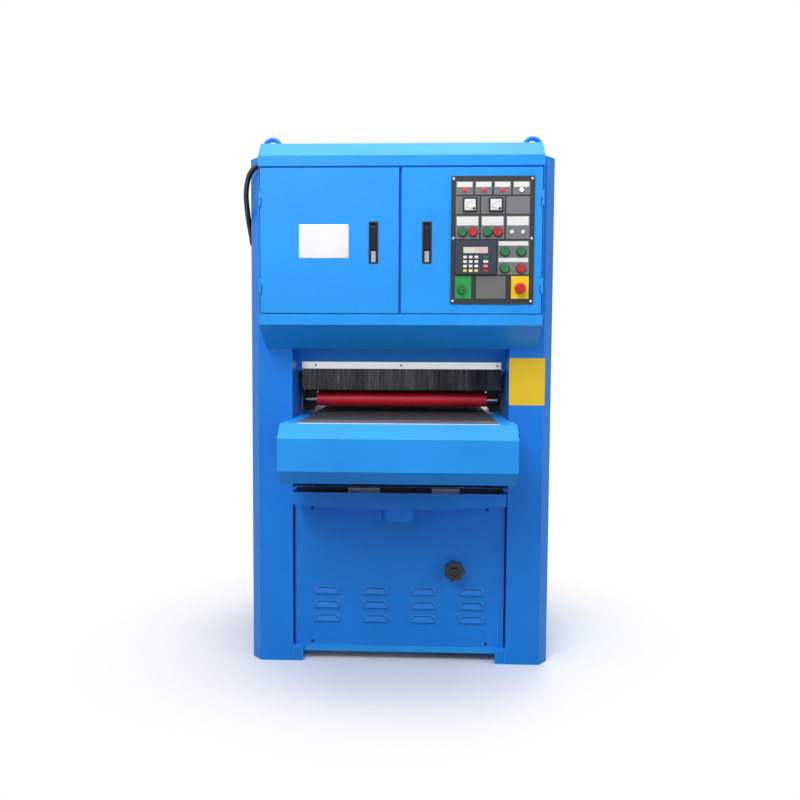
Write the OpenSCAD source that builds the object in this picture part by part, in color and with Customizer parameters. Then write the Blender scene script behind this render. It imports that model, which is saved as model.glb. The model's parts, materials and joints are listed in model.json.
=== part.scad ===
/* [Overall] */
// Width over both side covers
overall_w = 1100; // [1090:2:1140]
// Front to back depth of the columns
body_d = 850; // [830:10:1000]
// Height of the columns above the floor
column_h = 1840; // [1830:5:1960]
// Clear width between the inner walls of the columns
between_columns = 785; // [783:1:795]
// How far the infeed end stands out in front of the columns
table_reach = 380; // [370:5:460]
// How far the outfeed end stands out behind the columns
outfeed_reach = 30; // [28:1:60]

/* [Columns] */
// Thickness of the column sheet
column_sheet = 3; // [2:0.5:5]
// Thickness of the side covers
cover_sheet = 2; // [1:0.5:3]
// Width of the slanted front corner of a column
corner_w = 33; // [20:1:40]
// Depth of the slanted front corner of a column
corner_d = 42; // [20:1:60]
// Thickness of the foot plate under a column
foot_t = 6; // [4:1:12]
// Distance of the anchor holes from the middle of the machine
anchor_x = 470; // [440:5:500]
// Distance between the front and the rear anchor holes
anchor_spacing_y = 650; // [500:10:750]
// Diameter of an anchor hole
anchor_d = 18; // [12:1:24]
// Height of the base rails
rail_h = 56; // [44:1:80]
// Clear height under the cross rails for a pallet fork
fork_clear = 32; // [20:1:36]
// Width of a base rail
rail_w = 36.5; // [30:0.5:42]
// Wall of a base rail
rail_wall = 4; // [3:0.5:6]

/* [Cabinet] */
// Width of the switch cabinet
cabinet_w = 972; // [960:2:1000]
// Depth of the switch cabinet in front of the columns
cabinet_d = 150; // [140:5:200]
// Height of the cabinet's lower front edge above the floor
cabinet_front_z = 1239; // [1200:1:1250]
// Height of the cabinet's lower rear edge above the floor
cabinet_rear_z = 1158; // [1140:1:1170]
// Height of the cabinet's top above the floor, under its cap
cabinet_top_z = 1776; // [1774:1:1800]
// Height of the fixed strip below the doors
strip_h = 37; // [30:1:37]
// Thickness of the cabinet sheet
cabinet_sheet = 2.5; // [1.5:0.5:3]
// Height of the upright front of the cap
cap_front_h = 35; // [20:1:50]
// Rise of the cap's slope
cap_rise = 53; // [30:1:70]
// Run of the cap's slope from front to back
cap_run = 55; // [30:1:80]

/* [Doors] */
// Depth of a door pan
door_d = 20; // [16:1:24]
// Thickness of the door sheet
door_sheet = 2; // [1.5:0.5:3]
// Gap between the two doors
door_gap = 10; // [6:1:14]
// Gap above and below the doors
door_edge_gap = 3; // [3:0.5:6]
// Diameter of a hinge barrel
barrel_d = 10; // [9:0.5:10]
// Diameter of a hinge pin
hinge_pin_d = 6; // [4:0.5:7]
// Length of a whole hinge barrel
barrel_l = 54; // [40:1:70]
// Width of a latch tray
latch_w = 33; // [30:1:40]
// Height of a latch tray
latch_h = 142; // [130:1:160]
// Distance of a latch from the middle of the machine
latch_x = 91; // [60:1:100]
// Height of the middle of a latch above the floor
latch_z = 1518; // [1450:1:1600]

/* [Control panel] */
// Width of the control panel
panel_w = 280; // [272:1:284]
// Height of the control panel
panel_h = 428; // [420:1:440]
// Distance of the panel's middle from the middle of the machine
panel_x = 312; // [300:1:316]
// Height of the panel's middle above the floor
panel_z = 1525.5; // [1515:0.5:1530]
// Thickness of the panel's bezel
bezel_t = 5; // [4:0.5:8]
// Diameter of a push button's head
button_d = 26; // [22:1:27]
// Diameter of a push button's stem
stem_d = 16; // [12:1:18]
// How far a push button travels
button_travel = 4; // [2:0.5:5]
// Diameter of the emergency stop's head
stop_d = 38; // [34:1:44]

/* [Conveyor] */
// Width of the conveyor belt
belt_w = 660; // [640:2:662]
// Thickness of the conveyor belt
belt_t = 2.7; // [2:0.1:4]
// Height of the belt's top above the floor, with the table as photographed
belt_z = 915; // [910:1:916]
// Diameter of the conveyor's rollers
conveyor_roller_d = 110; // [90:2:116]
// Distance of the nose roller in front of the columns
nose_y = 130; // [110:5:140]
// Thickness of the bed plate under the belt
bed_t = 6; // [4:1:10]
// Height of the table's side channels
channel_h = 164; // [150:1:170]
// Width of a side channel's flange
channel_flange = 39; // [34:1:40]
// Thickness of a side channel
channel_t = 5; // [4:0.5:6]
// Width of the table's front cover
table_cover_w = 772; // [771:1:776]
// Thickness of the table's front cover
table_sheet = 3; // [2:0.5:4]
// Width of the stainless infeed plate
infeed_w = 660; // [600:5:700]
// Thickness of the infeed plate
infeed_t = 3; // [2:0.5:4]

/* [Rollers] */
// Diameter of a hold-down roller
hold_down_d = 52; // [44:1:54]
// Width of the working rollers
roller_w = 655; // [640:1:660]
// Height of the line that the work's top touches
work_z = 937; // [936:1:945]
// Diameter of the contact drum
drum_d = 140; // [120:2:150]
// Diameter of the tension roller
tension_d = 100; // [80:2:110]
// Height of the tension roller above the floor
tension_z = 1582; // [1560:2:1620]
// Thickness of the abrasive belt
abrasive_t = 1.5; // [1:0.1:2]
// Width of the abrasive belt
abrasive_w = 650; // [630:1:655]
// Diameter of the brush roller
brush_d = 180; // [160:2:190]
// Distance of the front hold-down roller behind the column fronts
front_hold_y = 215; // [206:1:225]
// Distance of the contact drum behind the column fronts
drum_y = 340; // [335:1:360]
// Distance of the brush roller behind the column fronts
brush_y = 560; // [545:1:570]
// Distance of the rear hold-down roller behind the column fronts
rear_hold_y = 690; // [686:1:720]

/* [Lower front] */
// Depth of the lower panel behind the column fronts
lower_panel_y = 20; // [10:1:40]
// Height of the lower panel's top above the floor
lower_panel_top = 650; // [620:1:655]
// Thickness of the lower panel
lower_sheet = 2.5; // [1.5:0.5:3]
// Width of a louvre
louvre_w = 92; // [60:2:110]
// Outside diameter of the dust outlet
outlet_d = 125; // [100:5:125]
// Diameter of the speed handwheel
handwheel_d = 76; // [60:1:90]
// Distance of the handwheel from the middle of the machine
handwheel_x = 202; // [180:1:220]
// Height of the handwheel above the floor
handwheel_z = 350; // [320:1:420]

/* [Lifting eyes] */
// Outside diameter of a lifting eye
eye_d = 72; // [60:1:90]
// Diameter of the hole in a lifting eye
eye_hole_d = 40; // [30:1:46]
// Thickness of a lifting eye
eye_t = 16; // [12:1:20]
// Distance of a lifting eye from the middle of the machine
eye_x = 466; // [450:1:480]
// Distance of a front eye behind the column fronts
eye_y = 30; // [25:1:40]

/* [Hidden] */
$fn = 48;

// Colours
powder_blue = [0.16, 0.60, 0.97];
panel_blue = [0.13, 0.50, 0.90];
steel_grey = [0.62, 0.63, 0.65];
bare_metal = [0.78, 0.79, 0.80];
near_black = [0.06, 0.06, 0.07];
roller_red = [0.78, 0.10, 0.22];
belt_grey = [0.20, 0.21, 0.21];
grit_brown = [0.42, 0.22, 0.14];
module_grey = [0.72, 0.74, 0.76];
signal_green = [0.05, 0.62, 0.28];
signal_red = [0.85, 0.08, 0.08];

// Overrun of every cut, running gap of a shaft, and gap between pieces that slide past
cut = 1;
belt_steps = 32;
running_gap = 0.05;
free_gap = 0.3;

// Places shared by many pieces; y is measured back from the column fronts
y_col = (table_reach - body_d - outfeed_reach) / 2;
column_in = between_columns / 2;
column_out = overall_w / 2 - cover_sheet;
corner_x = column_out - corner_w;
inner_skin = column_in + column_sheet;
rail_in = column_in - rail_w;

// Base
cross_rail_d = 50;
cross_rail_t = 3;
cross_rail_places = [0.053, 0.30, 0.62, 0.94];
anchor_y = body_d / 2;

// Side openings of the columns
side_open_front = 200;
side_open_rear = 750;
side_open_bottom = 150;
side_open_top = 1700;
side_cover_lap = 30;
grip_slot_w = 110;
grip_slot_h = 22;
grip_slot_shares = [0.4, 0.8];

// Cabinet
cabinet_in = cabinet_w / 2 - cabinet_sheet;
side_wall_setback = 10.5;
jamb_w = 28;
jamb_y = 22;
mullion_w = 44;
plate_gap = 17;
plate_t = 3;
plate_margin = 26;

// Doors
door_bottom_z = cabinet_front_z + strip_h + door_edge_gap;
door_top_z = cabinet_top_z - door_edge_gap - door_edge_gap;
hinge_x = cabinet_w / 2 - 5;
hinge_y = -cabinet_d + barrel_d / 2;
hinge_edge = 1.5;
hinge_leaf = [2, 4];
door_edge_x = hinge_x - hinge_edge;
hinge_low_z = 1373.5;
hinge_high_z = 1668;
barrel_gap = 0.5;

// Latches
latch_flange = 3;
latch_flange_t = 1.5;
latch_depth = 18;
latch_wall = 2;
lever_w = 17;
lever_t = 9;
lever_share = 0.62;
lever_pin_d = 5;
lever_end = 12;
lock_w = 15;
lock_h = 36;
lock_proud = 2;

// Control panel
panel_left = panel_x - panel_w / 2;
panel_top = panel_z + panel_h / 2;
panel_side_margin = 15.75;
panel_top_margin = 17.5;
module_gap = 5.5;
row_height_shares = [0.105, 0.138, 0.182, 0.265, 0.178];
row_gaps = len(row_height_shares) - 1;
module_clear = 0.3;
module_proud = 1;
module_deep = 44;
module_inset = 4;
window_lap = 12;
module_face_y = -cabinet_d - bezel_t - module_proud;
collar_h = 6;
collar_wall = 1.6;
button_clear = 0.5;
button_head = 6;
button_rest = 0.5;
stem_l = 26;
stop_travel = 6;
stop_collar_d = 28;
selector_d = 30;
selector_t = 7;
selector_grip = 9;
lamp_d = 15;
lamp_h = 5;
meter_size = 48;
meter_t = 7;
meter_window = 38;
meter_window_t = 1;
plug_d = 14;
plug_h = 4;
controller_t = 9;
display_t = 1.5;

// Head
head_sheet = 3;
soffit_z = cabinet_rear_z;
head_front_y = 156;
head_front_z = 1075;
rear_open_low = 655;
rear_open_high = 1075;
rear_cover_t = 2;
holder_w = 756;
holder_h = 26;
holder_t = 6;
holder_z = head_front_z + 8;
bristle_end_z = 1002;
bristle_rows = 2;
bristles_per_row = 150;
bristle_w = 1.8;
bristle_spread = 1.8;
bristle_backing = 5;

// Rollers, shafts and their bearings
roller_shaft_d = 40;
hold_shaft_d = 16;
hanger_t = 6;
hanger_w = 44;
hanger_in = 370;
drum_z = work_z + abrasive_t + drum_d / 2 + 1;
brush_z = work_z + brush_d / 2 + 1;
hold_z = work_z + hold_down_d / 2;
flange_w = 92;
flange_t = 12;
bearing_od = 62;
bearing_l = 34;
pulley_in = 438;
pulley_w = 34;
pulley_d = 110;
motor_pulley_d = 100;
motor_y = 600;
motor_z = 1500;
motor_d = 170;
motor_l = 300;
motor_flange_d = 200;
motor_flange_t = 14;
fin_count = 24;
fin_h = 8;
fin_w = 3;
beam_h = 150;
beam_wall = 6;
beam_z = 1330;
beam_foot_t = 10;
beam_foot = 30;

// Table and conveyor; heights follow the belt
table_cover_top = belt_z - infeed_t;
channel_top = table_cover_top - table_sheet;
channel_bottom = channel_top - channel_h;
web_in = 338;
web_out = web_in + channel_t;
table_front_y = -290;
table_rear_y = body_d + outfeed_reach;
roller_r = conveyor_roller_d / 2;
roller_z = belt_z - belt_t - free_gap - roller_r;
drive_y = table_rear_y - roller_r - 5;
bed_top = belt_z - belt_t - free_gap;
bed_w = 650;
bed_front = 40;
bed_rear = 740;
cross_member_w = 40;
cross_member_h = 70;
cross_member_shares = [0.04, 0.35, 0.66, 0.96];
axle_d = 25;
axle_flange_d = 60;
axle_flange_t = 10;
cover_rear_y = -196;
cover_slope_y = -320;
cover_slope_drop = 44;
cover_chin_z = 762;
cover_tail_y = -300;
cover_tail_z = 711;
infeed_rear_y = -192;

// Lift screws
screw_d = 30;
screw_x = 362;
screw_front_y = 150;
screw_rear_y = 700;
screw_bottom_z = 78;
screw_top_z = 812;
nut_d = 37;
nut_h = 40;
lift_bearing_h = 40;
lift_bearing_w = 44;
sprocket_d = 44;
sprocket_h = 10;
sprocket_z = 112;
sprocket_teeth = 14;
chain_t = 6;
chain_h = 8;

// Base drives
bridge_z = 554;
bridge_t = 6;
bridge_front = 90;
bridge_rear = 290;
gearbox_left = -73;
gearbox_right = 118;
gearbox_depth = 100;
gearbox_h = 90;
gear_motor_d = 84;
plate_h = 90;
side_plate_left = [-190, -73];
side_plate_right = [118, 219];
variator_l = 240;
variator_d = 130;

// Lower front
louvre_x_shares = [-0.346, -0.1153, 0.1153, 0.346];
louvre_z_shares = [0.177, 0.264, 0.352];
louvre_h = 26;
louvre_out = 8;
tray_front = -120;
tray_half_w = 376;
tray_top = 652;
tray_edge = 608;
tray_sheet = 2.5;
outlet_y = -50;
outlet_wall = 2.5;
outlet_bottom = 547;
outlet_l = 46;
handwheel_lobes = 7;
lobe_d = 20;
handwheel_t = 22;
handwheel_y = -3;
spindle_d = 12;

// Conduit's route: x, y and z in the machine's own frame, and its diameter
conduit_d = 20;
gland_d = 24;
gland_l = 6;
gland_stub_d = 20;
conduit_sides = 10;
conduit_route = [
  [-498, -270, 1806], [-508, -270, 1806], [-519, -268, 1801], [-530, -265, 1793],
  [-540, -261, 1781], [-548, -256, 1765], [-554, -250, 1745], [-558, -245, 1722],
  [-560, -238, 1698], [-560, -228, 1674], [-560, -215, 1652], [-560, -200, 1631],
  [-560, -184, 1612], [-560, -167, 1595], [-560, -150, 1580], [-560, -134, 1567]
];

// Lifting eyes
eye_collar_h = 8;
eye_collar_d = 38;
eye_neck_h = 12;
eye_neck_d = 22;
eye_land = 10;
inner_cap = cabinet_in;

// Devices inside the cabinet
standoff_d = 12;
din_t = 8;
din_h = 35;
device_count = 11;
rail_shares = [0.20, 0.48, 0.76];
duct_shares = [0.035, 0.315, 0.595, 0.875];
device_h = 82;
device_deep = 56;
duct_h = 28;
duct_deep = 40;

// Brush holder
holder_screw_d = 5.5;
holder_lip = 2;

// Lower panel and tray
lower_half_w = 386;
lower_return = 18;
louvre_sheet = 1.5;
tray_hole_d = 7;
tray_bracket_d = 40;

// Bearings, hangers, beam and motors
flange_corner_d = 24;
flange_hole_d = 11;
flange_hole_share = 0.35;
hanger_l = 90;
hanger_foot = 30;
beam_d = 76;
motor_bore_d = 44;
motor_bore_share = 0.4;
motor_shaft_d = 28;
motor_shaft_in = 40;
fan_cover_l = 45;
terminal_w = 90;
small_terminal_w = 60;
terminal_h = 25;
coupling_gap = 6;
brush_motor_d = 150;
brush_flange_d = 150;
motor_post_d = 14;
motor_post_share = 0.42;
v_belt_places = [442, 457];
v_belt_w = 11;
groove_deep = 9;
brush_rings = 40;
brush_ring_h = 6;
brush_ring_share = 0.6;
hold_half_l = 327.5;

// Table, lift and base details
cover_return = 12;
cheek_rear_y = -282;
tooth_h = 6;
tooth_w = 5;
tooth_t = 6;
foot_lug = 10;
gearbox_step = 16;
chain_drive_y = 150;
spindle_in = 40;
handwheel_dish = 5;
handwheel_hub_d = 38;

// Hinge and latch details
barrel_slot_gap = 2;
latch_fit = 0.2;
cam_l = 8;
cam_d = 12;
cam_rise = 30;
cam_reach = 60;
cam_t = 3;
lever_rib = 2;
lock_deep = 12;
key_recess = 3;
key_d = 11;
key_slot_w = 1.6;

// Panel details
rim = 1.2;
selector_grip_w = 9;
stop_collar_h = 3;
stop_neck_d = 24;
stop_neck_h = 5;
stop_rim = 4;
stop_dome = 7;
display_x_shares = [0.19, 0.80];
display_z_shares = [0.62, 0.81];
key_rows = 4;
key_low_share = 0.06;
key_pitch_share = 0.134;
key_height_share = 0.088;
key_right_share = 0.86;
key_sink = 0.6;

// A vector of length one along v
function unit(v) = v / norm(v);

// The corner b of an outline a, b, c, drawn in to the left by the sheet's thickness t
function inner_corner(a, b, c, t) =
  let (u = unit(b - a), w = unit(c - b), m = [-u.y, u.x], n = [-w.y, w.x])
  b + t * (m + n) / (1 + m * n);

// A closed outline drawn in by t; its points run counterclockwise
function drawn_in(points, t) =
  let (count = len(points))
  [for (i = [0:count - 1])
    inner_corner(points[(i + count - 1) % count], points[i], points[(i + 1) % count], t)];

// The section of a folded sheet of thickness t that lies to the left of an open path
function folded(path, t) =
  let (last = len(path) - 1)
  concat(path, [for (k = [0:last])
    let (
      i = last - k,
      before = i > 0 ? path[i - 1] : path[i] * 2 - path[i + 1],
      after = i < last ? path[i + 1] : path[i] * 2 - path[i - 1]
    )
    inner_corner(before, path[i], after, t)]);

// The sum of the first n entries of a list
function sum_to(list, n) = n <= 0 ? 0 : list[n - 1] + sum_to(list, n - 1);

// Places its children in the column fronts' frame
module at_front() {
  translate([0, y_col, 0]) children();
}

// Its children on the right side and mirrored on the left
module both_sides() {
  children();
  mirror([1, 0, 0]) children();
}

// A box between pairs of places along x, y and z
module span(x, y, z) {
  translate([x[0], y[0], z[0]]) cube([x[1] - x[0], y[1] - y[0], z[1] - z[0]]);
}

// A flat section drawn as (y, z) and run from one x to another
module along_x(x) {
  translate([x[0], 0, 0]) rotate([90, 0, 90]) linear_extrude(x[1] - x[0]) children();
}

// A round bar along x, y or z
module bar_x(x, d, y, z) {
  translate([x[0], y, z]) rotate([0, 90, 0]) cylinder(h = x[1] - x[0], d = d);
}
module bar_y(y, d, x, z) {
  translate([x, y[0], z]) rotate([-90, 0, 0]) cylinder(h = y[1] - y[0], d = d);
}
module bar_z(z, d, x, y) {
  translate([x, y, z[0]]) cylinder(h = z[1] - z[0], d = d);
}

// A slab with round corners of diameter d, lying flat
module round_slab(w, l, h, d) {
  for (size = [[w - d, l], [w, l - d]]) {
    translate([-size.x / 2, -size.y / 2, 0]) cube([size.x, size.y, h]);
  }
  for (x = [-1, 1], y = [-1, 1]) {
    translate([x * (w - d) / 2, y * (l - d) / 2, 0]) cylinder(h = h, d = d);
  }
}

// The outline of a belt round two parallel wheels, from (0, 0) to (0, distance)
function belt_outline(low_r, high_r, distance) =
  let (tilt = asin((low_r - high_r) / distance), step = 180 / belt_steps)
  concat(
    [for (k = [0:belt_steps])
      let (a = -180 - tilt + k * (step + 2 * tilt / belt_steps)) low_r * [cos(a), sin(a)]],
    [for (k = [0:belt_steps])
      let (a = tilt + k * (step - 2 * tilt / belt_steps)) [0, distance] + high_r * [cos(a), sin(a)]]);

// A belt of thickness t that runs round two wheels with a small gap to each
module wheel_belt(low_d, high_d, distance, t, h) {
  inner = free_gap;
  difference() {
    linear_extrude(h) polygon(belt_outline(low_d / 2 + inner + t, high_d / 2 + inner + t, distance));
    translate([0, 0, -cut]) linear_extrude(h + 2 * cut)
      polygon(belt_outline(low_d / 2 + inner, high_d / 2 + inner, distance));
  }
}

// Base frame

module base_frame() {
  color(powder_blue) at_front() difference() {
    union() {
      both_sides() span([rail_in, column_in], [0, body_d], [0, rail_h]);
      for (place = cross_rail_places) {
        span([-rail_in, rail_in],
          [place * body_d - cross_rail_d / 2, place * body_d + cross_rail_d / 2],
          [fork_clear, rail_h]);
      }
    }
    both_sides() span([rail_in + rail_wall, column_in - rail_wall],
      [-cut, body_d + cut], [rail_wall, rail_h - rail_wall]);
    for (place = cross_rail_places) {
      span([-rail_in - rail_wall, rail_in + rail_wall],
        [place * body_d - cross_rail_d / 2 + cross_rail_t,
        place * body_d + cross_rail_d / 2 - cross_rail_t],
        [fork_clear + cross_rail_t, rail_h - cross_rail_t]);
    }
  }
}

// The right column's outline seen from above, counterclockwise
column_outline = [
  [column_in, 0], [corner_x, 0], [column_out, corner_d], [column_out, body_d],
  [column_in, body_d]
];

module column_body() {
  difference() {
    linear_extrude(column_h) polygon(column_outline);
    translate([0, 0, foot_t]) linear_extrude(column_h - foot_t - column_sheet)
      polygon(drawn_in(column_outline, column_sheet));
    for (y = [-1, 1]) {
      bar_z([-cut, foot_t + cut], anchor_d, anchor_x, anchor_y + y * anchor_spacing_y / 2);
    }
    span([column_out - column_sheet - cut, column_out + cut],
      [side_open_front, side_open_rear], [side_open_bottom, side_open_top]);
    bar_x([column_in - cut, inner_skin + cut], roller_shaft_d + 2 * free_gap, drum_y, drum_z);
    bar_x([column_in - cut, inner_skin + cut], roller_shaft_d + 2 * free_gap, drum_y, tension_z);
    bar_x([column_in - cut, inner_skin + cut], roller_shaft_d + 2 * free_gap, brush_y, brush_z);
    bar_x([column_in - cut, inner_skin + cut], roller_shaft_d + 2 * free_gap, motor_y, motor_z);
  }
}

module left_column() {
  color(panel_blue) at_front() mirror([1, 0, 0]) column_body();
}

module right_column() {
  color(panel_blue) at_front() column_body();
}

// A slot with round ends through a side cover
module grip_slot(y, z) {
  x = [column_out - cut, column_out + cover_sheet + cut];
  half = (grip_slot_w - grip_slot_h) / 2;
  for (end = [-half, half]) bar_x(x, grip_slot_h, y + end, z);
  span(x, [y - half, y + half], [z - grip_slot_h / 2, z + grip_slot_h / 2]);
}

// A side cover hangs on the column's outer wall and has two slots to lift it by
module side_cover() {
  difference() {
    span([column_out, column_out + cover_sheet],
      [side_open_front - side_cover_lap, side_open_rear + side_cover_lap],
      [side_open_bottom - side_cover_lap, side_open_top + side_cover_lap]);
    for (z = grip_slot_shares) {
      grip_slot((side_open_front + side_open_rear) / 2,
        side_open_bottom + z * (side_open_top - side_open_bottom));
    }
  }
}

module access_covers() {
  color(powder_blue) at_front() {
    both_sides() side_cover();
    for (z = [[rail_h, rear_open_low], [rear_open_high, column_h]]) {
      span([-column_in, column_in], [body_d - rear_cover_t, body_d], z);
    }
  }
}

// Lifting eyes

// One eye: a ring with a flat inner wall on a round collar and a tapered neck
module lifting_eye() {
  ring_z = column_h + eye_d / 2 + eye_collar_h / 2;
  round_r = eye_t / 2;
  difference() {
    union() {
      cylinder(h = eye_collar_h, d = eye_collar_d);
      translate([0, 0, eye_collar_h]) cylinder(h = eye_neck_h, d1 = eye_collar_d, d2 = eye_neck_d);
      translate([0, 0, ring_z - column_h]) rotate([90, 0, 0]) rotate_extrude() {
        translate([eye_d / 2 - round_r, 0]) circle(r = round_r);
        translate([eye_hole_d / 2, -eye_land / 2])
          square([eye_d / 2 - round_r - eye_hole_d / 2, eye_land]);
      }
    }
    translate([0, eye_t, ring_z - column_h]) rotate([90, 0, 0])
      cylinder(h = 2 * eye_t, d = eye_hole_d);
  }
}

module lifting_eyes() {
  color(panel_blue) at_front() for (x = [-1, 1], y = [eye_y, body_d - eye_y]) {
    translate([x * eye_x, y, column_h]) lifting_eye();
  }
}

// Cabinet

// The cabinet's side wall, drawn as (y, z); its front edge stands back beside the doors
cabinet_side_outline = [
  [-cabinet_d, cabinet_front_z], [0, cabinet_rear_z], [0, cabinet_top_z],
  [side_wall_setback - cabinet_d, cabinet_top_z],
  [side_wall_setback - cabinet_d, door_bottom_z - door_edge_gap],
  [-cabinet_d, door_bottom_z - door_edge_gap]
];

// One fixed knuckle and its pin, which stands up into the door's knuckle
module fixed_knuckle(z) {
  span(hinge_leaf + [hinge_x, hinge_x], [hinge_y, side_wall_setback + cabinet_sheet - cabinet_d],
    [z - barrel_l / 2, z]);
  bar_z([z - barrel_l / 2, z], barrel_d, hinge_x, hinge_y);
  bar_z([z - barrel_l / 2, z + barrel_l / 2], hinge_pin_d, hinge_x, hinge_y);
}

module cabinet_shell() {
  jamb_rear = jamb_y - cabinet_d;
  inner_w = cabinet_in;
  frame_top = cabinet_top_z - cabinet_sheet;
  color(powder_blue) at_front() {
    difference() {
      along_x([-cabinet_w / 2, cabinet_w / 2]) polygon(cabinet_side_outline);
      along_x([-inner_w, inner_w]) polygon([
        [cabinet_sheet - cabinet_d, cabinet_front_z + cabinet_sheet],
        [-cabinet_sheet, cabinet_rear_z + cabinet_sheet],
        [-cabinet_sheet, frame_top],
        [cabinet_sheet - cabinet_d, frame_top]
      ]);
      span([-cabinet_w / 2 - cut, cabinet_w / 2 + cut],
        [-cabinet_d - cut, side_wall_setback - cabinet_d],
        [door_bottom_z - door_edge_gap, cabinet_top_z + cut]);
    }
    difference() {
      span([-inner_w, inner_w], [jamb_rear, jamb_rear + cabinet_sheet],
        [cabinet_front_z + cabinet_sheet, frame_top]);
      for (side = [[-inner_w + jamb_w, -mullion_w / 2], [mullion_w / 2, inner_w - jamb_w]]) {
        span(side, [jamb_rear - cut, jamb_rear + cabinet_sheet + cut],
          [door_bottom_z + jamb_w, frame_top - jamb_w]);
      }
    }
    both_sides() for (z = [hinge_low_z, hinge_high_z]) fixed_knuckle(z);
  }
}

// The cap's upper surface, drawn as (y, z) from its front edge to the rear
cap_path = [
  [-cabinet_d, cabinet_top_z + cap_front_h],
  [cap_run - cabinet_d, cabinet_top_z + cap_front_h + cap_rise],
  [0, cabinet_top_z + cap_front_h + cap_rise]
];

module cabinet_cap() {
  outline = concat([[0, cabinet_top_z], [-cabinet_d, cabinet_top_z]], cap_path);
  closed = [for (i = [len(outline) - 1:-1:0]) outline[i]];
  color(powder_blue) at_front() difference() {
    along_x([-cabinet_w / 2, cabinet_w / 2]) polygon(closed);
    along_x([-inner_cap, inner_cap]) polygon(drawn_in(closed, cabinet_sheet));
  }
}

module component_plate() {
  plate_x = cabinet_in - plate_margin;
  low = door_bottom_z + plate_margin;
  high = cabinet_top_z - cabinet_sheet - plate_margin;
  front = -plate_gap - plate_t;
  color(steel_grey) at_front() {
    span([-plate_x, plate_x], [front, front + plate_t], [low, high]);
    for (x = [-1, 1], z = [low + plate_margin, high - plate_margin]) {
      bar_y([front + plate_t, -cabinet_sheet], standoff_d, x * (plate_x - plate_margin), z);
    }
    for (share = rail_shares) {
      z = low + share * (high - low);
      span([-plate_x + plate_margin, plate_x - plate_margin], [front - din_t, front],
        [z - din_h / 2, z + din_h / 2]);
    }
    for (share = rail_shares, k = [0:device_count - 1]) {
      z = low + share * (high - low);
      pitch = 2 * (plate_x - 2 * plate_margin) / device_count;
      x = -plate_x + 2 * plate_margin + (k + 1 / 2) * pitch;
      tall = (k % 3 == 0) ? device_h : device_h * 4 / 5;
      deep = (k % 3 == 0) ? device_deep : device_deep * 4 / 5;
      span([x - pitch * 2 / 5, x + pitch * 2 / 5], [front - din_t - deep, front - din_t],
        [z - tall / 2, z + tall / 2]);
    }
    for (share = duct_shares) {
      z = low + share * (high - low);
      span([-plate_x + plate_margin, plate_x - plate_margin], [front - duct_deep, front],
        [z, z + duct_h]);
    }
  }
}

// Head housing

module head_housing() {
  path = [
    [body_d - rear_cover_t, column_h], [0, column_h], [0, soffit_z], [head_front_y, soffit_z],
    [head_front_y, head_front_z]
  ];
  color(powder_blue) at_front() along_x([-column_in, column_in]) polygon(folded(path, head_sheet));
}

// Brush holder and its bristles

module brush_holder() {
  color(bare_metal) at_front() difference() {
    span([-holder_w / 2, holder_w / 2], [head_front_y - holder_t,
      head_front_y], [holder_z, holder_z + holder_h]);
    for (share = [-0.43, 0, 0.48]) {
      bar_y([head_front_y - holder_t - cut, head_front_y + cut], holder_screw_d,
        share * holder_w, holder_z + holder_h / 2);
    }
    span([-holder_w / 2 - cut, holder_w / 2 + cut],
      [head_front_y - holder_t + holder_lip, head_front_y + cut],
      [holder_z - cut, holder_z + bristle_backing]);
  }
}

// How far the tip of bristle k leans to the side, as a share of its spread
function lean_share(k) = sin(k * 137.5) * 0.5 + sin(k * 61) * 0.3;

// A row of bristles with their backing, drawn as (x, z) in one outline
function bristle_outline(shift) =
  let (
    pitch = holder_w / bristles_per_row,
    top = holder_z + bristle_backing,
    root = holder_z
  )
  concat(
    [[-holder_w / 2, top]],
    [for (k = [0:bristles_per_row - 1])
      let (
        x = -holder_w / 2 + (k + shift) * pitch,
        tip = x + lean_share(k + shift * bristles_per_row) * bristle_spread,
        low = bristle_end_z + abs(lean_share(3 * k)) * bristle_spread
      )
      each [[x - bristle_w / 2, root], [tip - bristle_w / 2, low],
        [tip + bristle_w / 2, low], [x + bristle_w / 2, root]]],
    [[holder_w / 2, top]]
  );

module bristle_curtain() {
  back = head_front_y - free_gap;
  front = back - holder_t + holder_lip + free_gap;
  deep = (back - front) / bristle_rows;
  color(near_black) at_front() for (row = [0:bristle_rows - 1]) {
    translate([0, front + (row + 1) * deep, 0]) rotate([90, 0, 0])
      linear_extrude(deep) polygon(bristle_outline((row + 1 / 2) / bristle_rows));
  }
}

// Lower panel

// A louvre is a pressed hood over a slot; its section is drawn as (y, z)
module louvre_hood(x, z) {
  along_x([x - louvre_w / 2, x + louvre_w / 2]) polygon([
    [0, z - louvre_h / 2], [0, z + louvre_h / 2], [-louvre_out, z - louvre_h / 2 + louvre_sheet],
    [-louvre_out, z - louvre_h / 2]
  ]);
}

module louvre_hollow(x, z) {
  along_x([x - louvre_w / 2 + louvre_sheet, x + louvre_w / 2 - louvre_sheet]) polygon([
    [lower_sheet + cut, z - louvre_h / 2 - cut],
    [lower_sheet + cut, z + louvre_h / 2 - louvre_sheet - louvre_sheet],
    [0, z + louvre_h / 2 - louvre_sheet - louvre_sheet],
    [louvre_sheet - louvre_out, z - louvre_h / 2 + louvre_sheet],
    [louvre_sheet - louvre_out, z - louvre_h / 2 - cut]
  ]);
}

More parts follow.
